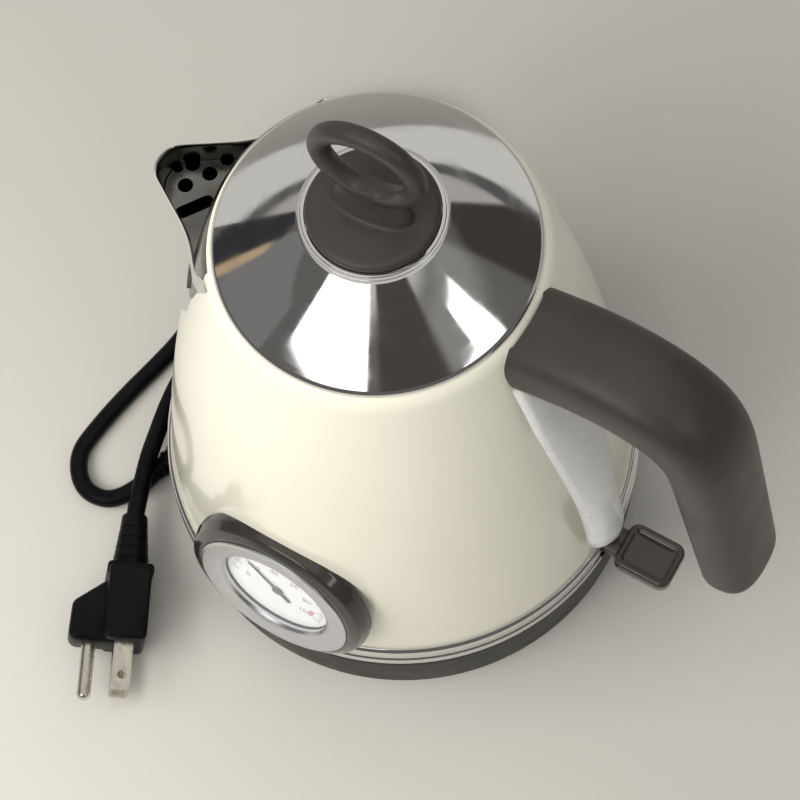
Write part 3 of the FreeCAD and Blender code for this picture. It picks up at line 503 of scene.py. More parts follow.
def spout_low_z(angle):
    """Height of the lower edge of the spout's sheet at an angle from the centre line."""
    angle = abs(math.degrees(angle))
    for (low, low_z), (high, high_z) in zip(SPOUT_EDGE, SPOUT_EDGE[1:]):
        if angle <= high:
            return low_z + (high_z - low_z) * (angle - low) / (high - low)
    return SPOUT_EDGE[-1][1]


def make_spout():
    columns, rows = 121, 44
    edge = math.radians(SPOUT_EDGE[-1][0])
    outer, inner = [], []
    for row in range(rows):
        for column in range(columns):
            angle = (2 * column / (columns - 1) - 1) * edge
            top = spout_rim_z(angle)
            low = min(spout_low_z(angle), top - 0.4)
            z = low + (top - low) * row / (rows - 1)
            reach = flared_radius(angle, z) + 0.12
            skin = max(reach - 1.1, body_radius(z) - 0.6)
            spoke = Vector((-math.cos(angle), math.sin(angle), 0))
            outer.append(spoke * reach + Vector((0, 0, z)))
            inner.append(spoke * skin + Vector((0, 0, z)))
    rim = [(outside + inside) / 2 + Vector((0, 0, 0.45))
           for outside, inside in zip(outer[-columns:], inner[-columns:])]
    count, last = rows * columns, (rows - 1) * columns
    behind = count + columns
    sheet = grid_faces(rows, columns, close_columns=False)
    lining = [tuple(corner + behind for corner in face) for face in sheet]
    edges = strip(range(last, count), range(count, behind))
    edges += strip(range(count, behind), range(behind + last, behind + count))
    edges += strip(range(behind, behind + columns), range(columns))
    for column in (0, columns - 1):
        edges += strip(range(column, count, columns),
                       range(behind + column, behind + count, columns))
        edges.append((last + column, count + column, behind + last + column))
    points, faces = outer + rim + inner, sheet + lining + edges
    slots = [0] * len(sheet) + [1] * len(lining) + [0] * len(edges)
    # The lining's dark_steel colour is painted shade inside the spout.
    finishes = [MAT["polished_chrome"], MAT["dark_steel"]]
    spout = mesh_from("spout_shell", points, faces, finishes, 50, face_slots=slots)
    return stands_for(spout, "kettle", "spout", slot="polished_chrome")


make_spout()


def flat_plate(name, outline, low, high, bevel, material, place=None, holes=()):
    """Plate from a 2-D outline with holes, with rounded edges."""
    curve = bpy.data.curves.new(name, "CURVE")
    curve.dimensions = "2D"
    curve.fill_mode = "BOTH"
    curve.extrude = max((high - low) / 2 - bevel, 0) * MM
    curve.bevel_depth = bevel * MM
    curve.bevel_resolution = 2
    for loop in (outline, *holes):
        spline = curve.splines.new("POLY")
        spline.points.add(len(loop) - 1)
        spline.use_cyclic_u = True
        for target, point in zip(spline.points, loop):
            target.co = (point[0] * MM, point[1] * MM, 0, 1)
    mesh = mesh_of(curve)
    work = bmesh.new()
    work.from_mesh(mesh)
    bpy.data.meshes.remove(mesh)
    bmesh.ops.scale(work, vec=(1 / MM, 1 / MM, 1 / MM), verts=work.verts)
    bmesh.ops.translate(work, vec=(0, 0, (low + high) / 2), verts=work.verts)
    if place:
        bmesh.ops.transform(work, matrix=place, verts=work.verts)
    return finish_mesh(name, work, material, 30)


def slot_of(start, end, radius, steps=10):
    start, end = Vector(start), Vector(end)
    turn = math.atan2(end.y - start.y, end.x - start.x)
    loop = []
    for centre, first in ((end, turn - math.pi / 2), (start, turn + math.pi / 2)):
        for step in range(steps + 1):
            angle = first + math.pi * step / steps
            loop.append((centre.x + radius * math.cos(angle), centre.y + radius * math.sin(angle)))
    return loop


STRAINER_Z = 156.0
LIP_ROLL = ((150.0, 0.0), (179.4, 0.0), (180.9, -0.2), (182.3, -0.66), (182.8, -0.95))


def make_strainer():
    z, half = STRAINER_Z, math.radians(30.0)
    outline = []
    for count, sign, body_gap, spout_gap in ((60, -1, 1.0, 1.3), (20, 1, 0.3, None)):
        for step in range(count + 1):
            angle = sign * half * (1 - 2 * step / count)
            reach = body_radius(z) + body_gap
            if spout_gap:
                reach = max(flared_radius(angle, z) - spout_gap, reach)
            outline.append((-reach * math.cos(angle), reach * math.sin(angle)))
    # The strainer's dark_steel colour is painted shade inside the spout.
    steel = MAT["dark_steel"]
    plate = flat_plate("strainer", outline, z - 0.8, z, 0.15, steel)
    for hole in (circle(2.3, (-69.8, 6.3)), circle(2.3, (-63.6, 6.0)), circle(2.3, (-68.0, -0.8)),
                 circle(2.0, (-61.5, 12.6)), circle(1.5, (-73.0, 3.0), 20),
                 slot_of((-64.2, -9.0), (-59.4, -2.2), 2.0)):
        fuse_tool(plate, flat_plate("tool", hole, z - 3, z + 2, 0.05, steel), "DIFFERENCE")
    reshade(plate, 30)
    return stands_for(plate, "kettle", "spout_strainer", slot="dark_steel")


make_strainer()


def make_strainer_back():
    """The strainer's upright flange, against the body's wall inside the spout."""
    columns, rows, half, top = 41, 16, math.radians(39.0), 182.6
    points = []
    for stand_off in (0.33, 0.06):
        for row in range(rows):
            for column in range(columns):
                angle = half * (2 * column / (columns - 1) - 1)
                foot = max(STRAINER_Z - 0.6, spout_low_z(angle) + 1.2)
                z = foot + (top - foot) * row / (rows - 1)
                reach = body_radius(z) + between(LIP_ROLL, z)[0] + stand_off
                points.append((-reach * math.cos(angle), reach * math.sin(angle), z))
    count = rows * columns
    front = grid_faces(rows, columns, close_columns=False)
    faces = front + [tuple(corner + count for corner in face) for face in front]
    for edge in (range(columns), range(count - columns, count), range(0, count, columns),
                 range(columns - 1, count, columns)):
        faces += strip(edge, range(edge.start + count, edge.stop + count, edge.step))
    # The flange's dark_steel colour is painted shade inside the spout.
    flange = mesh_from("strainer_flange", points, faces, MAT["dark_steel"], 50)
    return stands_for(flange, "kettle", slot="dark_steel")


make_strainer_back()


# ---- chrome ring ----
def make_trim_ring():
    profile = rounded([
        (78.9, 26.2), (TRIM_R - 0.1, 26.2, 0.4), (TRIM_R, 30.6, 0.5), (TRIM_R - 0.75, 31.2, 0.15),
        (TRIM_R - 0.85, 31.9, 0.2), (TRIM_R - 0.75, 36.4, 1.0), (79.6, TRIM_TOP_Z, 0.3),
        (body_radius(37.0) + 0.05, 37.2), (body_radius(30.0) + 0.05, 30.0), (78.9, 29.9),
    ], 6)
    ring = turned("foot_ring", profile, MAT["polished_chrome"], turns=256)
    fuse_tool(ring, block((70, -6.6, 27.2), (90, 6.6, 40)), "DIFFERENCE")
    reshade(ring)
    return stands_for(ring, "kettle", "trim_ring", slot="polished_chrome")


make_trim_ring()


# ---- lid and knob ----
def lid_height(radius):
    """Height of the lid's outside at a radius."""
    share = (LID_R - radius) / (LID_R - LID_TOP[0])
    return LID_RIM_Z + 1.5 + share * (LID_TOP[1] - LID_RIM_Z - 1.5) + 2.4 * share * (1 - share)


def make_lid():
    top_r, top_z = LID_TOP
    edge_r = LID_R - 0.35
    radii = [edge_r - (edge_r - top_r) * step / 30 for step in range(31)]
    slope = [(radius, lid_height(radius)) for radius in radii]
    rim = [(LID_R - inset, LID_RIM_Z + rise) for inset, rise in
           ((1.8, 0.1), (0.7, 0.0), (0.2, 0.25), (0.0, 0.75), (0.12, 1.2))]
    crown = [(19.6, top_z), (19.5, 201.2), (8.0, 201.2), (8.0, 200.2), (top_r - 0.6, 200.2),
             (top_r - 0.4, 202.4)]
    under = [(radius, z - 1.0) for radius, z in slope[-2:2:-1]]
    lid = turned("lid", rim + slope + crown + under, MAT["lid_chrome"], turns=256, sharp=40)
    stands_for(lid, "lid", "lid_cover", slot="polished_chrome")
    collar = turned("knob_collar", rounded([
        (18.95, 202.5), (19.45, 202.5), (19.45, 203.9), (20.9, 203.9, 0.2), (20.9, 204.4, 0.25),
        (20.1, 204.5, 0.1), (20.0, 204.95, 0.2), (18.95, 204.95, 0.15)], 4), MAT["polished_chrome"])
    return stands_for(collar, "lid", "lid_collar", slot="polished_chrome")


make_lid()


RING_CENTRE = Vector((0, 0, 231.8))
RING_R, RING_TUBE_R = 14.2, 3.15
SADDLE_Z, SADDLE_HEIGHT = 206.4, 14.0


def knob_ring(turns=96, around=32):
    """The knob's ring, standing on edge and facing Y."""
    points = []
    for x, z in circle(1.0, steps=turns):
        for outward, sideways in circle(RING_TUBE_R, steps=around):
            points.append(RING_CENTRE + Vector((x, 0, z)) * (RING_R + outward) + Y_AXIS * sideways)
    return mesh_from("tool", points, grid_faces(turns, around, close_rows=True), [])


def make_knob():
    profile = rounded([(0, 201.6), (18.8, 201.6), (18.8, 206.6, 1.3), (17.4, 207.3, 0.6),
                       (9.0, 208.3, 8.0), (0, 208.7)], 6)
    knob = turned("knob_grip", profile, MAT["handle_plastic"], turns=128)
    fuse_tool(knob, knob_ring(), "UNION")
    layers = []
    for step in range(15):
        share = step / 14
        half_long = 12.6 - 4.6 * smooth_step(0, 1, share)
        half_wide = 3.0 + 4.4 * (1 - share) ** 3
        oval = [(half_long * x, half_wide * y) for x, y in circle(1.0, steps=48)]
        layers.append((oval, SADDLE_Z + SADDLE_HEIGHT * share))
    saddle = stacked("tool", layers, (0, 0), [], 30)
    across = Matrix.Translation(RING_CENTRE) @ rotation(90, "X")
    bore_r = RING_R - RING_TUBE_R
    hole = turned("tool", [(0, -20), (bore_r, -20), (bore_r, 20), (0, 20)], [], across, turns=96)
    fuse_tool(saddle, hole, "DIFFERENCE")
    fuse_tool(knob, saddle, "UNION")
    remesh = knob.modifiers.new("even", "REMESH")
    remesh.mode = "VOXEL"
    remesh.voxel_size = 0.4 * MM
    remesh.use_smooth_shade = True
    soften = knob.modifiers.new("soften", "SMOOTH")
    soften.factor = 0.5
    soften.iterations = 12
    apply_modifiers(knob)
    knob.data.transform(rotation(4.0, "Z"))
    return stands_for(knob, "lid", "knob", slot="handle_plastic")


make_knob()


# ---- handle ----
HANDLE_SPINE = ((44.0, 170.5), (78.0, 176.8), (99.4, 169.0), (109.9, 144.8), (117.3, 112.5),
                (125.0, 79.0))
HANDLE_WIDTH = (30.0, 27.8)        # at the body and at the free end
HANDLE_THICK = (24.0, 19.4)


def natural_spline(points):
    """Smooth curve through points, as a function of the share of its length."""
    count = len(points)
    knots = [0.0]
    for first, second in zip(points, points[1:]):
        knots.append(knots[-1] + math.dist(first, second))
    bends = []
    for axis in range(2):
        lower, middle, upper, right = [0.0] * count, [1.0] * count, [0.0] * count, [0.0] * count
        for i in range(1, count - 1):
            before, after = knots[i] - knots[i - 1], knots[i + 1] - knots[i]
            lower[i], middle[i], upper[i] = before, 2 * (before + after), after
            rise = (points[i + 1][axis] - points[i][axis]) / after
            right[i] = 6 * (rise - (points[i][axis] - points[i - 1][axis]) / before)
        for i in range(1, count):
            factor = lower[i] / middle[i - 1]
            middle[i] -= factor * upper[i - 1]
            right[i] -= factor * right[i - 1]
        solved = [0.0] * count
        solved[-1] = right[-1] / middle[-1]
        for i in range(count - 2, -1, -1):
            solved[i] = (right[i] - upper[i] * solved[i + 1]) / middle[i]
        bends.append(solved)

    def at(share):
        place = min(max(share, 0.0), 1.0) * knots[-1]
        i = max(k for k in range(count - 1) if knots[k] <= place + 1e-9)
        span = knots[i + 1] - knots[i]
        a, b = (knots[i + 1] - place) / span, (place - knots[i]) / span
        values = []
        for axis in range(2):
            bend = (a ** 3 - a) * bends[axis][i] + (b ** 3 - b) * bends[axis][i + 1]
            straight = a * points[i][axis] + b * points[i + 1][axis]
            values.append(straight + bend * span * span / 6)
        return Vector((values[0], 0, values[1]))

    return at, knots[-1]


handle_line, HANDLE_LENGTH = natural_spline(HANDLE_SPINE)


def handle_point(share, turn, inset=0.0):
    centre = handle_line(share)
    along = (handle_line(share + 0.004) - handle_line(share - 0.004)).normalized()
    outward = along.cross(Y_AXIS).normalized()
    half_width = (HANDLE_WIDTH[0] + share * (HANDLE_WIDTH[1] - HANDLE_WIDTH[0])) / 2 - inset
    half_thick = (HANDLE_THICK[0] + share * (HANDLE_THICK[1] - HANDLE_THICK[0])) / 2 - inset
    cos, sin = math.cos(turn), math.sin(turn)
    across = math.copysign(abs(cos) ** (2 / 2.6), cos)
    through = math.copysign(abs(sin) ** (2 / 2.6), sin)
    return centre + Y_AXIS * (across * half_width) + outward * (through * half_thick)


def in_body(point):
    """True just within the body's outside, or above its lip."""
    lip_z, lip_r = 183.0, 49.3
    return math.hypot(point.x, point.y) < (body_radius(point.z) - 0.5 if point.z < lip_z else lip_r)


def make_handle():
    around, rows, cap_rows, round_end = 72, 70, 12, 6.5
    turns = [2 * math.pi * step / around for step in range(around)]
    starts = [last_inside(lambda share: in_body(handle_point(share, turn)), 0.0, 0.3, 24)
              for turn in turns]
    last = 1.0 - round_end / HANDLE_LENGTH
    points = []
    for row in range(rows):
        for start, turn in zip(starts, turns):
            points.append(handle_point(start + (last - start) * row / (rows - 1), turn))
    for row in range(1, cap_rows + 1):
        angle = math.pi / 2 * row / cap_rows
        share = last + math.sin(angle) * round_end / HANDLE_LENGTH
        points += [handle_point(share, turn, round_end * (1 - math.cos(angle))) for turn in turns]
    total = rows + cap_rows
    faces = grid_faces(total, around)
    faces += fan(range((total - 1) * around, total * around), len(points))
    faces += fan(range(around), len(points) + 1)
    root_z = sum(point.z for point in points[:around]) / around
    points += [handle_line(1.0), Vector((body_radius(root_z) - 0.5, 0, root_z))]
    handle = mesh_from("handle", points, faces, MAT["handle_plastic"], 45)
    return stands_for(handle, "kettle", "handle_outer", "handle_inner", slot="handle_plastic")


make_handle()


# ---- water gauge ----
GAUGE_SECTIONS = (         # height, half width, how far the middle stands off the wall
    (38.6, 6.4, 3.4), (40.0, 7.6, 4.8), (42.0, 8.4, 5.6), (47.0, 9.2, 6.4), (60.0, 9.2, 6.2),
    (78.0, 10.0, 5.4), (99.0, 11.6, 4.4), (121.0, 13.3, 3.4), (141.0, 14.6, 2.6),
    (168.0, 15.0, 2.2))


def make_gauge():
    rows, columns = 80, 41
    low, high, rim = 38.8, 166.0, 1.3
    points = []
    for row in range(rows + 1):
        z = low + (high - low) * (row / rows) ** 1.3
        half_width, stand_off = between(GAUGE_SECTIONS, z)
        wall = body_radius(z)
        for column in range(columns):
            across = 2 * column / (columns - 1) - 1
            if abs(across) == 1:
                rise = 0.05
            else:
                rise = rim + (stand_off - rim) * math.cos(across * math.pi / 2) ** 0.8
                rise *= 0.8 if abs(across) > 0.94 else 1
            y = across * half_width
            points.append((math.sqrt((wall + rise) ** 2 - y * y), y, z))
        back = math.sqrt((wall - 0.6) ** 2 - half_width ** 2)
        points += [(back, half_width, z), (back, -half_width, z)]
    count = columns + 2
    faces = grid_faces(rows + 1, count)
    faces += [tuple(range(count)), tuple(range(rows * count, (rows + 1) * count))]
    gauge = mesh_from("level_window", points, faces, MAT["gauge_plastic"], 70)
    return stands_for(gauge, "kettle", "water_gauge", slot="gauge_plastic")


make_gauge()


# ---- switch lever ----
def rounded_rectangle(half_x, half_y, radius, steps=8):
    return rounded([(-half_x, -half_y, radius), (half_x, -half_y, radius),
                    (half_x, half_y, radius), (-half_x, half_y, radius)], steps)


def make_switch():
    insets = ((1.2, 31.0), (0.35, 31.25), (0.0, 32.0), (0.0, 35.6), (0.2, 36.3), (0.7, 36.8),
              (1.3, 37.0), (1.8, 36.95), (2.2, 36.7), (2.5, 36.3), (3.2, 36.1), (5.5, 36.0))
    layers = [(rounded_rectangle(10.3 - inset, 8.5 - inset, max(3.8 - inset * 0.8, 0.6)), z)
              for inset, z in insets]
    paddle = stacked("switch_paddle", layers, (95.9, 0), MAT["switch_plastic"])
    layers = [(rounded_rectangle(10.2 - inset, 5.0 - inset, 1.2), z)
              for inset, z in ((0.6, 30.1), (0.0, 30.6), (0.0, 34.6), (0.6, 35.3))]
    fuse_tool(paddle, stacked("tool", layers, (79.0, 0), MAT["switch_plastic"]), "UNION")
    reshade(paddle, 50)
    return stands_for(paddle, "switch", "switch_lever", slot="handle_plastic")


make_switch()


# ---- thermometer ----
WALL_POINT = Vector((0, -body_radius(THERMO_Z), THERMO_Z))
ON_WALL = Matrix.Translation(WALL_POINT) @ rotation(90 - THERMO_TILT, "X")
BEZEL_NECK_R = 30.2
BEZEL_R = 32.5
FACE_R = 27.4
DIAL_R = 19.0


def in_kettle(point):
    radius = math.hypot(point.x, point.y)
    if point.z < TRIM_TOP_Z:
        return radius < TRIM_R + 0.05
    return radius < body_radius(point.z) - 0.4


def make_bezel():
    around = 192
    drum = rounded([(BEZEL_NECK_R, -21.0), (BEZEL_NECK_R, -20.0), (BEZEL_NECK_R, -5.0, 0.8),
                    (BEZEL_R, -3.7, 1.6), (BEZEL_R, -0.6, 2.5), (31.2, 3.0, 1.8), (28.6, 4.3, 0.5),
                    (FACE_R, 4.4, 0.3), (FACE_R, 2.4), (DIAL_R + 0.6, 2.4), (DIAL_R + 0.6, 0.8)], 6)
    points = []
    for radius, z in drum:
        for x, y in circle(radius, steps=around):
            spot = Vector((x, y, z))
            if radius > FACE_R + 0.6:
                wall = last_inside(lambda depth: in_kettle(ON_WALL @ Vector((x, y, depth))),
                                   -20.0, 4.0, 20)
                spot.z = max(z, wall)
            points.append(ON_WALL @ spot)
    rows = len(drum)
    faces = grid_faces(rows, around)
    faces += fan(range((rows - 1) * around, rows * around), len(points))
    faces += fan(range(around), len(points) + 1)
    points += [ON_WALL @ Vector((0, 0, 0.8)), ON_WALL @ Vector((0, 0, -0.3))]
    bezel = mesh_from("thermometer_bezel", points, faces, MAT["bezel_plastic"], 35)
    stands_for(bezel, "kettle", "thermo_housing", slot="bezel_plastic")
    ring = turned("thermometer_ring", rounded([
        (DIAL_R + 0.1, 2.5), (FACE_R - 0.05, 2.5), (FACE_R - 0.05, 5.0, 0.5),
        (FACE_R - 1.2, 5.25, 0.5), (DIAL_R + 2.2, 4.9, 0.4), (DIAL_R + 1.0, 4.3, 0.5),
        (DIAL_R + 0.1, 3.4, 0.15)], 5), MAT["satin_chrome"], ON_WALL)
    stands_for(ring, "kettle", "thermo_face_ring", slot="satin_chrome")


make_bezel()

DIAL_START, DIAL_END = -89.4, 114.5    # degrees clockwise from straight up, at 0 and at 100
DIAL_Z = 1.5


def dial_angle(value):
    return DIAL_START + (DIAL_END - DIAL_START) * value / 100.0


def on_dial(angle):
    """Unit vector outward at a clockwise angle from straight up."""
    return Vector((math.sin(math.radians(angle)), math.cos(math.radians(angle)), 0))


def make_dial_print():
    points, faces, slots = [], [], []
    box_faces = ((4, 5, 6, 7), (3, 2, 1, 0), (0, 1, 5, 4), (1, 2, 6, 5), (2, 3, 7, 6), (3, 0, 4, 7))

    def stroke(angle, inner, outer, width, slot):
        along, side = on_dial(angle), on_dial(angle + 90) * width / 2
        first = len(points)
        for level in (DIAL_Z, DIAL_Z + 0.06):
            low, high = along * inner + Z_AXIS * level, along * outer + Z_AXIS * level
            points.extend([low - side, low + side, high + side, high - side])
        faces.extend(tuple(first + corner for corner in face) for face in box_faces)
        slots.extend([slot] * len(box_faces))

    for value in range(0, 101, 2):
        inner, width = (15.8, 0.2) if value % 10 else (14.6, 0.42)
        stroke(dial_angle(value), inner, 17.4, width, 0)
    red_from, red_inner, red_outer, steps = 92.0, 12.2, 14.0, 26
    piece = (100.0 - red_from) / steps
    half_turn = math.radians(dial_angle(piece) - dial_angle(0)) / 2
    for step in range(steps):
        middle = dial_angle(red_from + piece * (step + 0.5))
        stroke(middle, red_inner, red_outer, 2 * red_outer * math.sin(half_turn) + 0.02, 1)
    inks = [MAT["ink"], MAT["red_ink"]]
    printed = mesh_from("dial_marks", points, faces, inks, 30, ON_WALL, slots)
    stands_for(printed, "kettle", slot="needle_dark")


make_dial_print()


def make_numerals():
    for value in range(0, 101, 20):
        text = bpy.data.curves.new("number", "FONT")
        text.body = str(value)
        text.size = 3.4 * MM
        text.align_x = "CENTER"
        text.align_y = "CENTER"
        text.extrude = 0.03 * MM
        mesh = mesh_of(text)
        where = ON_WALL @ (on_dial(dial_angle(value)) * 11.2 + Z_AXIS * (DIAL_Z + 0.03))
        mesh.transform(Matrix.Translation(where * MM) @ ON_WALL.to_3x3().to_4x4())
        mesh.materials.append(MAT["ink"])
        stands_for(linked("dial_number_%d" % value, mesh), "kettle", slot="needle_dark")


make_numerals()


def make_needle():
    blade = [(-0.2, 14.5), (0.2, 14.5), (0.55, 1.6), (0.75, -6.0), (-0.75, -6.0), (-0.55, 1.6)]
    turn = rotation(48.6, "Z")
    pointer = flat_plate("needle", blade, 1.8, 2.1, 0.06, MAT["needle_paint"], ON_WALL @ turn)
    hub = turned("needle_hub", rounded([(0, 1.7), (2.0, 1.7), (2.0, 2.3, 0.25), (0, 2.35)], 4),
                 MAT["needle_paint"], ON_WALL, turns=48)
    stands_for(pointer, "needle", "thermo_needle", slot="needle_dark")
    stands_for(hub, "needle", slot="needle_dark")


make_needle()


# ---- plug ----
AT_PLUG = (Matrix.Translation((-49.3, -108.6, 12.9)) @ rotation(-62.5, "Z")
           @ rotation(-13.0, "X"))
PLUG_BACK_X = -25.3
BLADE_SPACING = 12.7
GROUND_PIN_Y = -11.9


def make_plug():
    vinyl, metal = MAT["cord_vinyl"], MAT["blade_metal"]
    core = [(0, 6.0, 0.8), (-23.0, 6.0), (-23.0, -6.0), (0, -6.0, 0.8)]
    wedge = [(-0.2, -3.0), (-19.0, -3.0), (-18.5, -6.0), (-10.5, -16.5, 1.4), (-0.2, -16.9, 1.2)]
    collar = [(-22.5, 7.0, 0.5), (PLUG_BACK_X, 7.0, 0.5), (PLUG_BACK_X, -7.0, 0.5),
              (-22.5, -7.0, 0.5)]
    body = flat_plate("plug", rounded(core), -11.9, 11.9, 1.3, vinyl, AT_PLUG)
    for outline, half, bevel in ((wedge, 7.2, 2.2), (collar, 9.5, 1.0)):
        tool = flat_plate("tool", rounded(outline), -half, half, bevel, vinyl, AT_PLUG)
        fuse_tool(body, tool, "UNION")
    reshade(body, 35)
    stands_for(body, "power_base", "plug_body", slot="cord_vinyl")
    blades = []
    outline = rounded([(-6.0, -3.17), (17.9, -3.17, 1.2), (17.9, 3.17, 1.2), (-6.0, 3.17)], 5)
    for number, z in ((1, -BLADE_SPACING / 2), (3, BLADE_SPACING / 2)):
        blade = flat_plate("plug_blade_%d" % number, outline, z - 0.75, z + 0.75, 0.2, metal,
                           AT_PLUG, [circle(1.6, (13.0, 0.0))])
        stands_for(blade, "power_base", *([] if blades else ["plug_blades"]), slot="blade_metal")
        blades.append(blade)
    along_x = Matrix.Translation((0, GROUND_PIN_Y, 0)) @ rotation(90, "Y")
    pin = turned("plug_pin", rounded([(0, -6), (2.4, -6), (2.4, 21.3, 2.2), (0, 21.4)], 8), metal,
                 AT_PLUG @ along_x, turns=48)
    stands_for(pin, "power_base", "plug_ground_pin", slot="blade_metal")
    return body, blades, pin


plug_body, plug_blades, plug_pin = make_plug()


# ---- mains cord ----
CORD_D = 6.4
FROM_BASE = [
    (-75.2, -49.5, 5.2), (-79.8, -64.4, 3.4), (-94.2, -68.2, 3.2), (-104.3, -57.5, 3.2),
    (-103.2, -43.5, 3.2), (-100.9, -29.0, 3.2), (-97.6, -14.5, 3.2), (-94.6, 0.5, 3.2),
    (-95.0, 17.0, 3.2), (-98.2, 34.0, 3.3), (-100.6, 51.0, 3.6), (-101.4, 68.0, 4.1),
]
TO_PLUG = [
    (-75.4, 54.0, 10.5), (-81.4, 41.0, 8.2), (-85.7, 26.0, 5.0), (-87.3, 9.0, 3.3),
    (-87.4, -8.0, 3.4), (-85.4, -23.0, 5.4), (-81.2, -37.0, 9.6), (-77.2, -51.0, 12.2),
    (-70.2, -68.2, 12.8),
]
COIL_MIDDLE = heading(127.1, 113.0)
COIL_LAY = 37.1                    # heading of the coil's long way


def coil_turns():
    """Points round the tied coil, clockwise: once on the lower layer, then on the upper one."""
    points = []
    first, last, steps = 190.0, -405.0, 22
    for step in range(steps + 1):
        angle = first + (last - first) * step / steps
        side = math.copysign(8.0, math.cos(math.radians(angle - COIL_LAY)))
        climb = min(max((-70 - angle) / 75, 0), 1)
        centre = COIL_MIDDLE + heading(COIL_LAY, side) + Z_AXIS * (4.1 + CORD_D * climb)
        points.append(tuple(centre + heading(angle, 27.2)))
    return points


def make_relief():
    """Ribbed strain relief between the cord and the plug."""
    start = AT_PLUG @ Vector((PLUG_BACK_X, 0, 0))
    direction = Vector(TO_PLUG[-1]) - start
    length = direction.length
    profile = [(0, 0), (6.4, 0), (6.6, 0.6)]
    grooves = 4
    for groove in range(grooves):
        base = 3.2 + groove * (length - 5.0) / grooves
        outer = 6.6 - 2.3 * base / length
        profile += [(outer, base), (outer - 0.35, base + 0.15), (outer - 0.4, base + 0.75),
                    (outer - 0.08, base + 0.9)]
    profile += [(4.5, length - 0.7), (4.3, length - 0.3), (4.1, length), (0, length)]
    relief = turned("plug_strain_relief", profile, MAT["cord_vinyl"], standing_on(start, direction),
                    turns=64, sharp=50)
    return stands_for(relief, "power_base", "plug_relief", slot="cord_vinyl")


def make_gland():
    """Ribbed strain relief where the cord leaves the base."""
    length, direction = 26.0, heading(-106.0)
    profile = [(0, 0.6), (4.6, 0.6), (4.55, 6.0)]
    for rib in range(5):
        base = 7.0 + rib * 3.5
        outer = 4.5 - 0.16 * rib
        profile += [(outer - 0.5, base), (outer - 0.5, base + 1.0), (outer, base + 1.4),
                    (outer, base + 2.7), (outer - 0.5, base + 3.1)]
    profile += [(CORD_D / 2 + 0.4, length - 1), (CORD_D / 2 + 0.2, length), (0, length)]
    place = standing_on(Vector(FROM_BASE[0]) - direction * length, direction)
    gland = turned("base_strain_relief", profile, MAT["cord_vinyl"], place, turns=64, sharp=50)
    return stands_for(gland, "power_base", "cord_gland", slot="cord_vinyl")


def make_tie():
    """Flat band round the coil's two layers, on the side away from the kettle."""
    half_y, half_z = CORD_D / 2 + 0.5, CORD_D + 0.5
    loop = rounded_rectangle(half_y, half_z, 2.6, 12)
    points = []
    for x, inset in ((-3.0, 0.45), (-3.2, 0.2), (-3.0, 0.0), (3.0, 0.0), (3.2, 0.2), (3.0, 0.45)):
        for y, z in loop:
            inward = Vector((0, y / half_y, z / half_z)).normalized() * inset
            points.append(Vector((x, 26.5 + y, 7.3 + z)) - inward)
    faces = grid_faces(6, len(loop), close_rows=True)
    place = Matrix.Translation(COIL_MIDDLE) @ rotation(COIL_LAY, "Z")
    tie = mesh_from("cord_tie_band", points, faces, MAT["cord_vinyl"], 40, place)
    return stands_for(tie, "power_base", "cord_tie", slot="cord_vinyl")


def make_cord():
    curve = bpy.data.curves.new("cord", "CURVE")
    curve.dimensions = "3D"
    curve.bevel_depth = CORD_D / 2 * MM
    curve.bevel_resolution = 8
    curve.resolution_u = 12
    curve.use_fill_caps = True
    points = FROM_BASE + coil_turns() + TO_PLUG
    spline = curve.splines.new("NURBS")
    spline.points.add(len(points) - 1)
    for target, point in zip(spline.points, points):
        target.co = (*[value * MM for value in point], 1.0)
    spline.order_u = 3
    spline.use_endpoint_u = True
    curve.materials.append(MAT["cord_vinyl"])
    cord = linked("cord", curve)
    stands_for(cord, "power_base", "cord_near", "cord_coil", "cord_far", slot="cord_vinyl")
    on_cord = [make_gland(), make_relief(), make_tie(), plug_body, *plug_blades, plug_pin]


make_cord()


# ---- floor, light and camera ----
def maths_in(tree):
    """Function that adds a Math node over sockets and numbers, and returns its output."""
    def maths(operation, *values):
        node = tree.nodes.new("ShaderNodeMath")
        node.operation = operation
        for socket, value in zip(node.inputs, values):
            if isinstance(value, (int, float)):
                socket.default_value = value
            else:
                tree.links.new(value, socket)
        return node.outputs["Value"]
    return maths


def make_floor():
    work = bmesh.new()
    bmesh.ops.create_grid(work, x_segments=2, y_segments=2, size=4000.0)
    floor = finish_mesh("floor", work, [], 30)
    surface = Surface("floor_paper_painted_falloff", (0.7, 0.69, 0.66), 0.55)
    maths, links = maths_in(surface.tree), surface.tree.links
    split = surface.tree.nodes.new("ShaderNodeSeparateXYZ")
    links.new(surface.place, split.inputs["Vector"])
    # Painted light falloff and shade: the floor's base colour is brightest toward the window light
    # and darkens along this line, away from it and beyond the kettle.
    across = maths("ADD", maths("MULTIPLY", split.outputs["X"], 0.82),
                   maths("MULTIPLY", split.outputs["Y"], 2.0))
    ramp = surface.tree.nodes.new("ShaderNodeValToRGB")
    ramp.color_ramp.elements[0].color = (0.63, 0.612, 0.56, 1)
    ramp.color_ramp.elements[1].color = (0.465, 0.45, 0.418, 1)
    ramp.color_ramp.elements.new(0.5).color = (0.48, 0.465, 0.428, 1)
    links.new(maths("ADD", across, 0.5), ramp.inputs["Fac"])
    links.new(ramp.outputs["Color"], surface.shader.inputs["Base Color"])
    surface.grain(500.0, 0.05, 0.1, detail=2.0)
    floor.data.materials.append(surface.material)


make_floor()


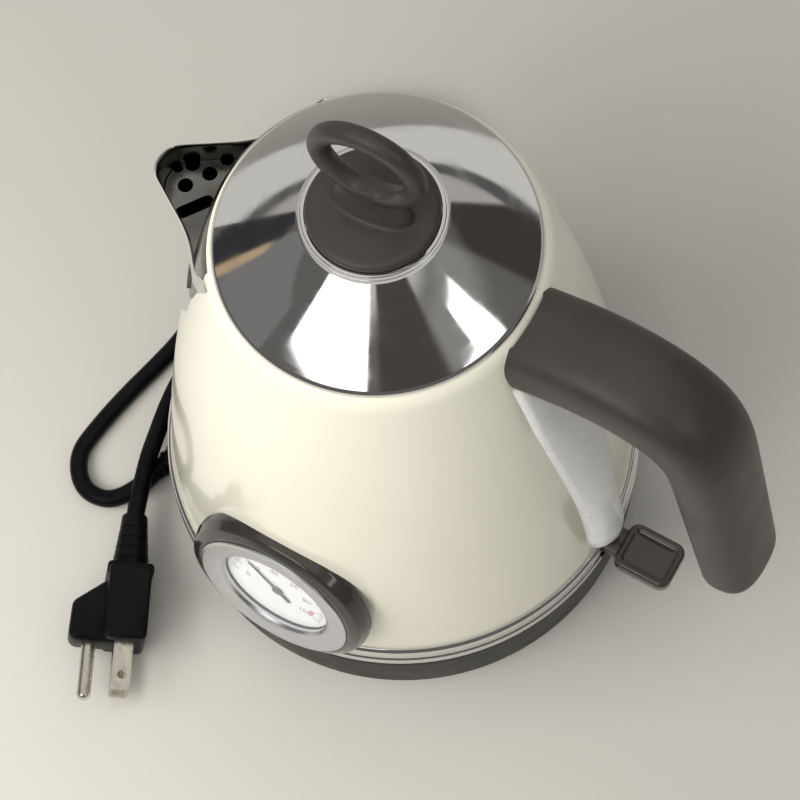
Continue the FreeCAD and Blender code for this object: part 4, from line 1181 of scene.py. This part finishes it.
def make_room():
    """A pale room for the camera, and one with dark corners and bright windows for reflections."""
    world = bpy.data.worlds.new("room")
    bpy.context.scene.world = world
    world.use_nodes = True
    tree = world.node_tree
    links, maths = tree.links, maths_in(tree)
    background = tree.nodes["Background"]
    place = tree.nodes.new("ShaderNodeTexCoord").outputs["Generated"]
    split = tree.nodes.new("ShaderNodeSeparateXYZ")
    links.new(place, split.inputs["Vector"])

    azimuth = maths("ARCTAN2", split.outputs["Y"], split.outputs["X"])
    azimuth = maths("MULTIPLY", azimuth, 180 / math.pi)
    height = maths("MULTIPLY", maths("ARCSINE", split.outputs["Z"]), 180 / math.pi)

    def band(value, low, high, soft):
        def ramp(edge, start):
            node = tree.nodes.new("ShaderNodeMapRange")
            node.interpolation_type = "SMOOTHSTEP"
            node.inputs["From Min"].default_value = edge - soft
            node.inputs["From Max"].default_value = edge + soft
            node.inputs["To Min"].default_value = start
            node.inputs["To Max"].default_value = 1.0 - start
            links.new(value, node.inputs["Value"])
            return node.outputs["Result"]
        return maths("MULTIPLY", ramp(low, 0.0), ramp(high, 1.0))

    def mixed(factor, under, colour):
        """Colour laid over a socket or another colour."""
        node = tree.nodes.new("ShaderNodeMix")
        node.data_type = "RGBA"
        links.new(factor, node.inputs["Factor"])
        low, high = (socket for socket in node.inputs if socket.type == "RGBA")
        high.default_value = (*colour, 1.0)
        if isinstance(under, tuple):
            low.default_value = (*under, 1.0)
        else:
            links.new(under, low)
        return next(socket for socket in node.outputs if socket.type == "RGBA")

    room = (0.42, 0.41, 0.39)
    for azimuths, heights, colour, soft in (
            ((-400, 400), (50, 95), (0.62, 0.61, 0.58), 8),      # ceiling
            ((-190, 26), (-5, 48), (0.13, 0.125, 0.12), 3),      # dark front of the room
            ((24, 66), (11, 48), (0.13, 0.125, 0.12), 1.5),
            ((-166, -127), (14, 34), (0.2, 0.2, 0.2), 1),
            ((-180, -165), (7, 24), (0.035, 0.035, 0.04), 1),
            ((-166, -162), (10, 22), (0.5, 0.38, 0.24), 1),      # tan strips
            ((46, 52), (24, 34), (0.45, 0.34, 0.22), 1),
            ((-62, -22), (30, 56), (0.07, 0.062, 0.056), 2),     # someone standing
            ((-22, 34), (33, 46), (0.26, 0.26, 0.25), 4),
            ((36, 66), (10, 33), (0.05, 0.045, 0.04), 2),
            ((-117, -69), (33, 56), (2.6, 2.6, 2.6), 1.0),       # windows
            ((-16, 12), (29, 34), (2.4, 2.4, 2.4), 1),
            ((-5, 11), (33, 41), (2.6, 2.6, 2.6), 1),
            ((64, 181), (-8, 10), (0.62, 0.61, 0.58), 0.8),      # end of the paper
            ((64, 181), (10, 14), (0.1, 0.1, 0.1), 0.8)):
        mask = maths("MULTIPLY", band(azimuth, *azimuths, soft), band(height, *heights, soft))
        room = mixed(mask, room, colour)
    seen_directly = tree.nodes.new("ShaderNodeLightPath").outputs["Is Camera Ray"]
    links.new(mixed(seen_directly, room, (0.62, 0.61, 0.59)), background.inputs["Color"])
    background.inputs["Strength"].default_value = 1.0


make_room()


def area_light(name, azimuth, elevation, distance, size, power, colour=(1, 1, 1)):
    data = bpy.data.lights.new(name, "AREA")
    data.shape = "RECTANGLE"
    data.size, data.size_y = size
    data.energy = power
    data.color = colour
    light = linked(name, data)
    lift = math.radians(elevation)
    away = heading(azimuth) * math.cos(lift) + Z_AXIS * math.sin(lift)
    light.matrix_world = standing_on(away * distance + Vector((0, 0, 0.1)), away)
    light.visible_glossy = False


area_light("window", -126, 44, 1.0, (0.9, 0.6), 8.3, (1.0, 0.985, 0.95))
area_light("sky", -45, 72, 1.4, (1.2, 1.2), 6.0)


def make_camera():
    data = bpy.data.cameras.new("camera")
    data.sensor_width = 36.0
    data.lens = 99.0
    data.clip_start = 0.01
    data.clip_end = 20.0
    camera = linked("camera", data)
    forward = Vector((-0.2167, 0.2875, -0.9330)).normalized()
    roll = math.radians(-7.5)
    level_right = forward.cross(Z_AXIS).normalized()
    level_up = level_right.cross(forward)
    right = level_right * math.cos(roll) + level_up * math.sin(roll)
    up = level_up * math.cos(roll) - level_right * math.sin(roll)
    turn = Matrix((right, up, -forward)).transposed()
    camera.matrix_world = Matrix.Translation((0.1595, -0.2107, 0.7448)) @ turn.to_4x4()
    bpy.context.scene.camera = camera


make_camera()
bpy.context.scene.view_settings.view_transform = "Standard"
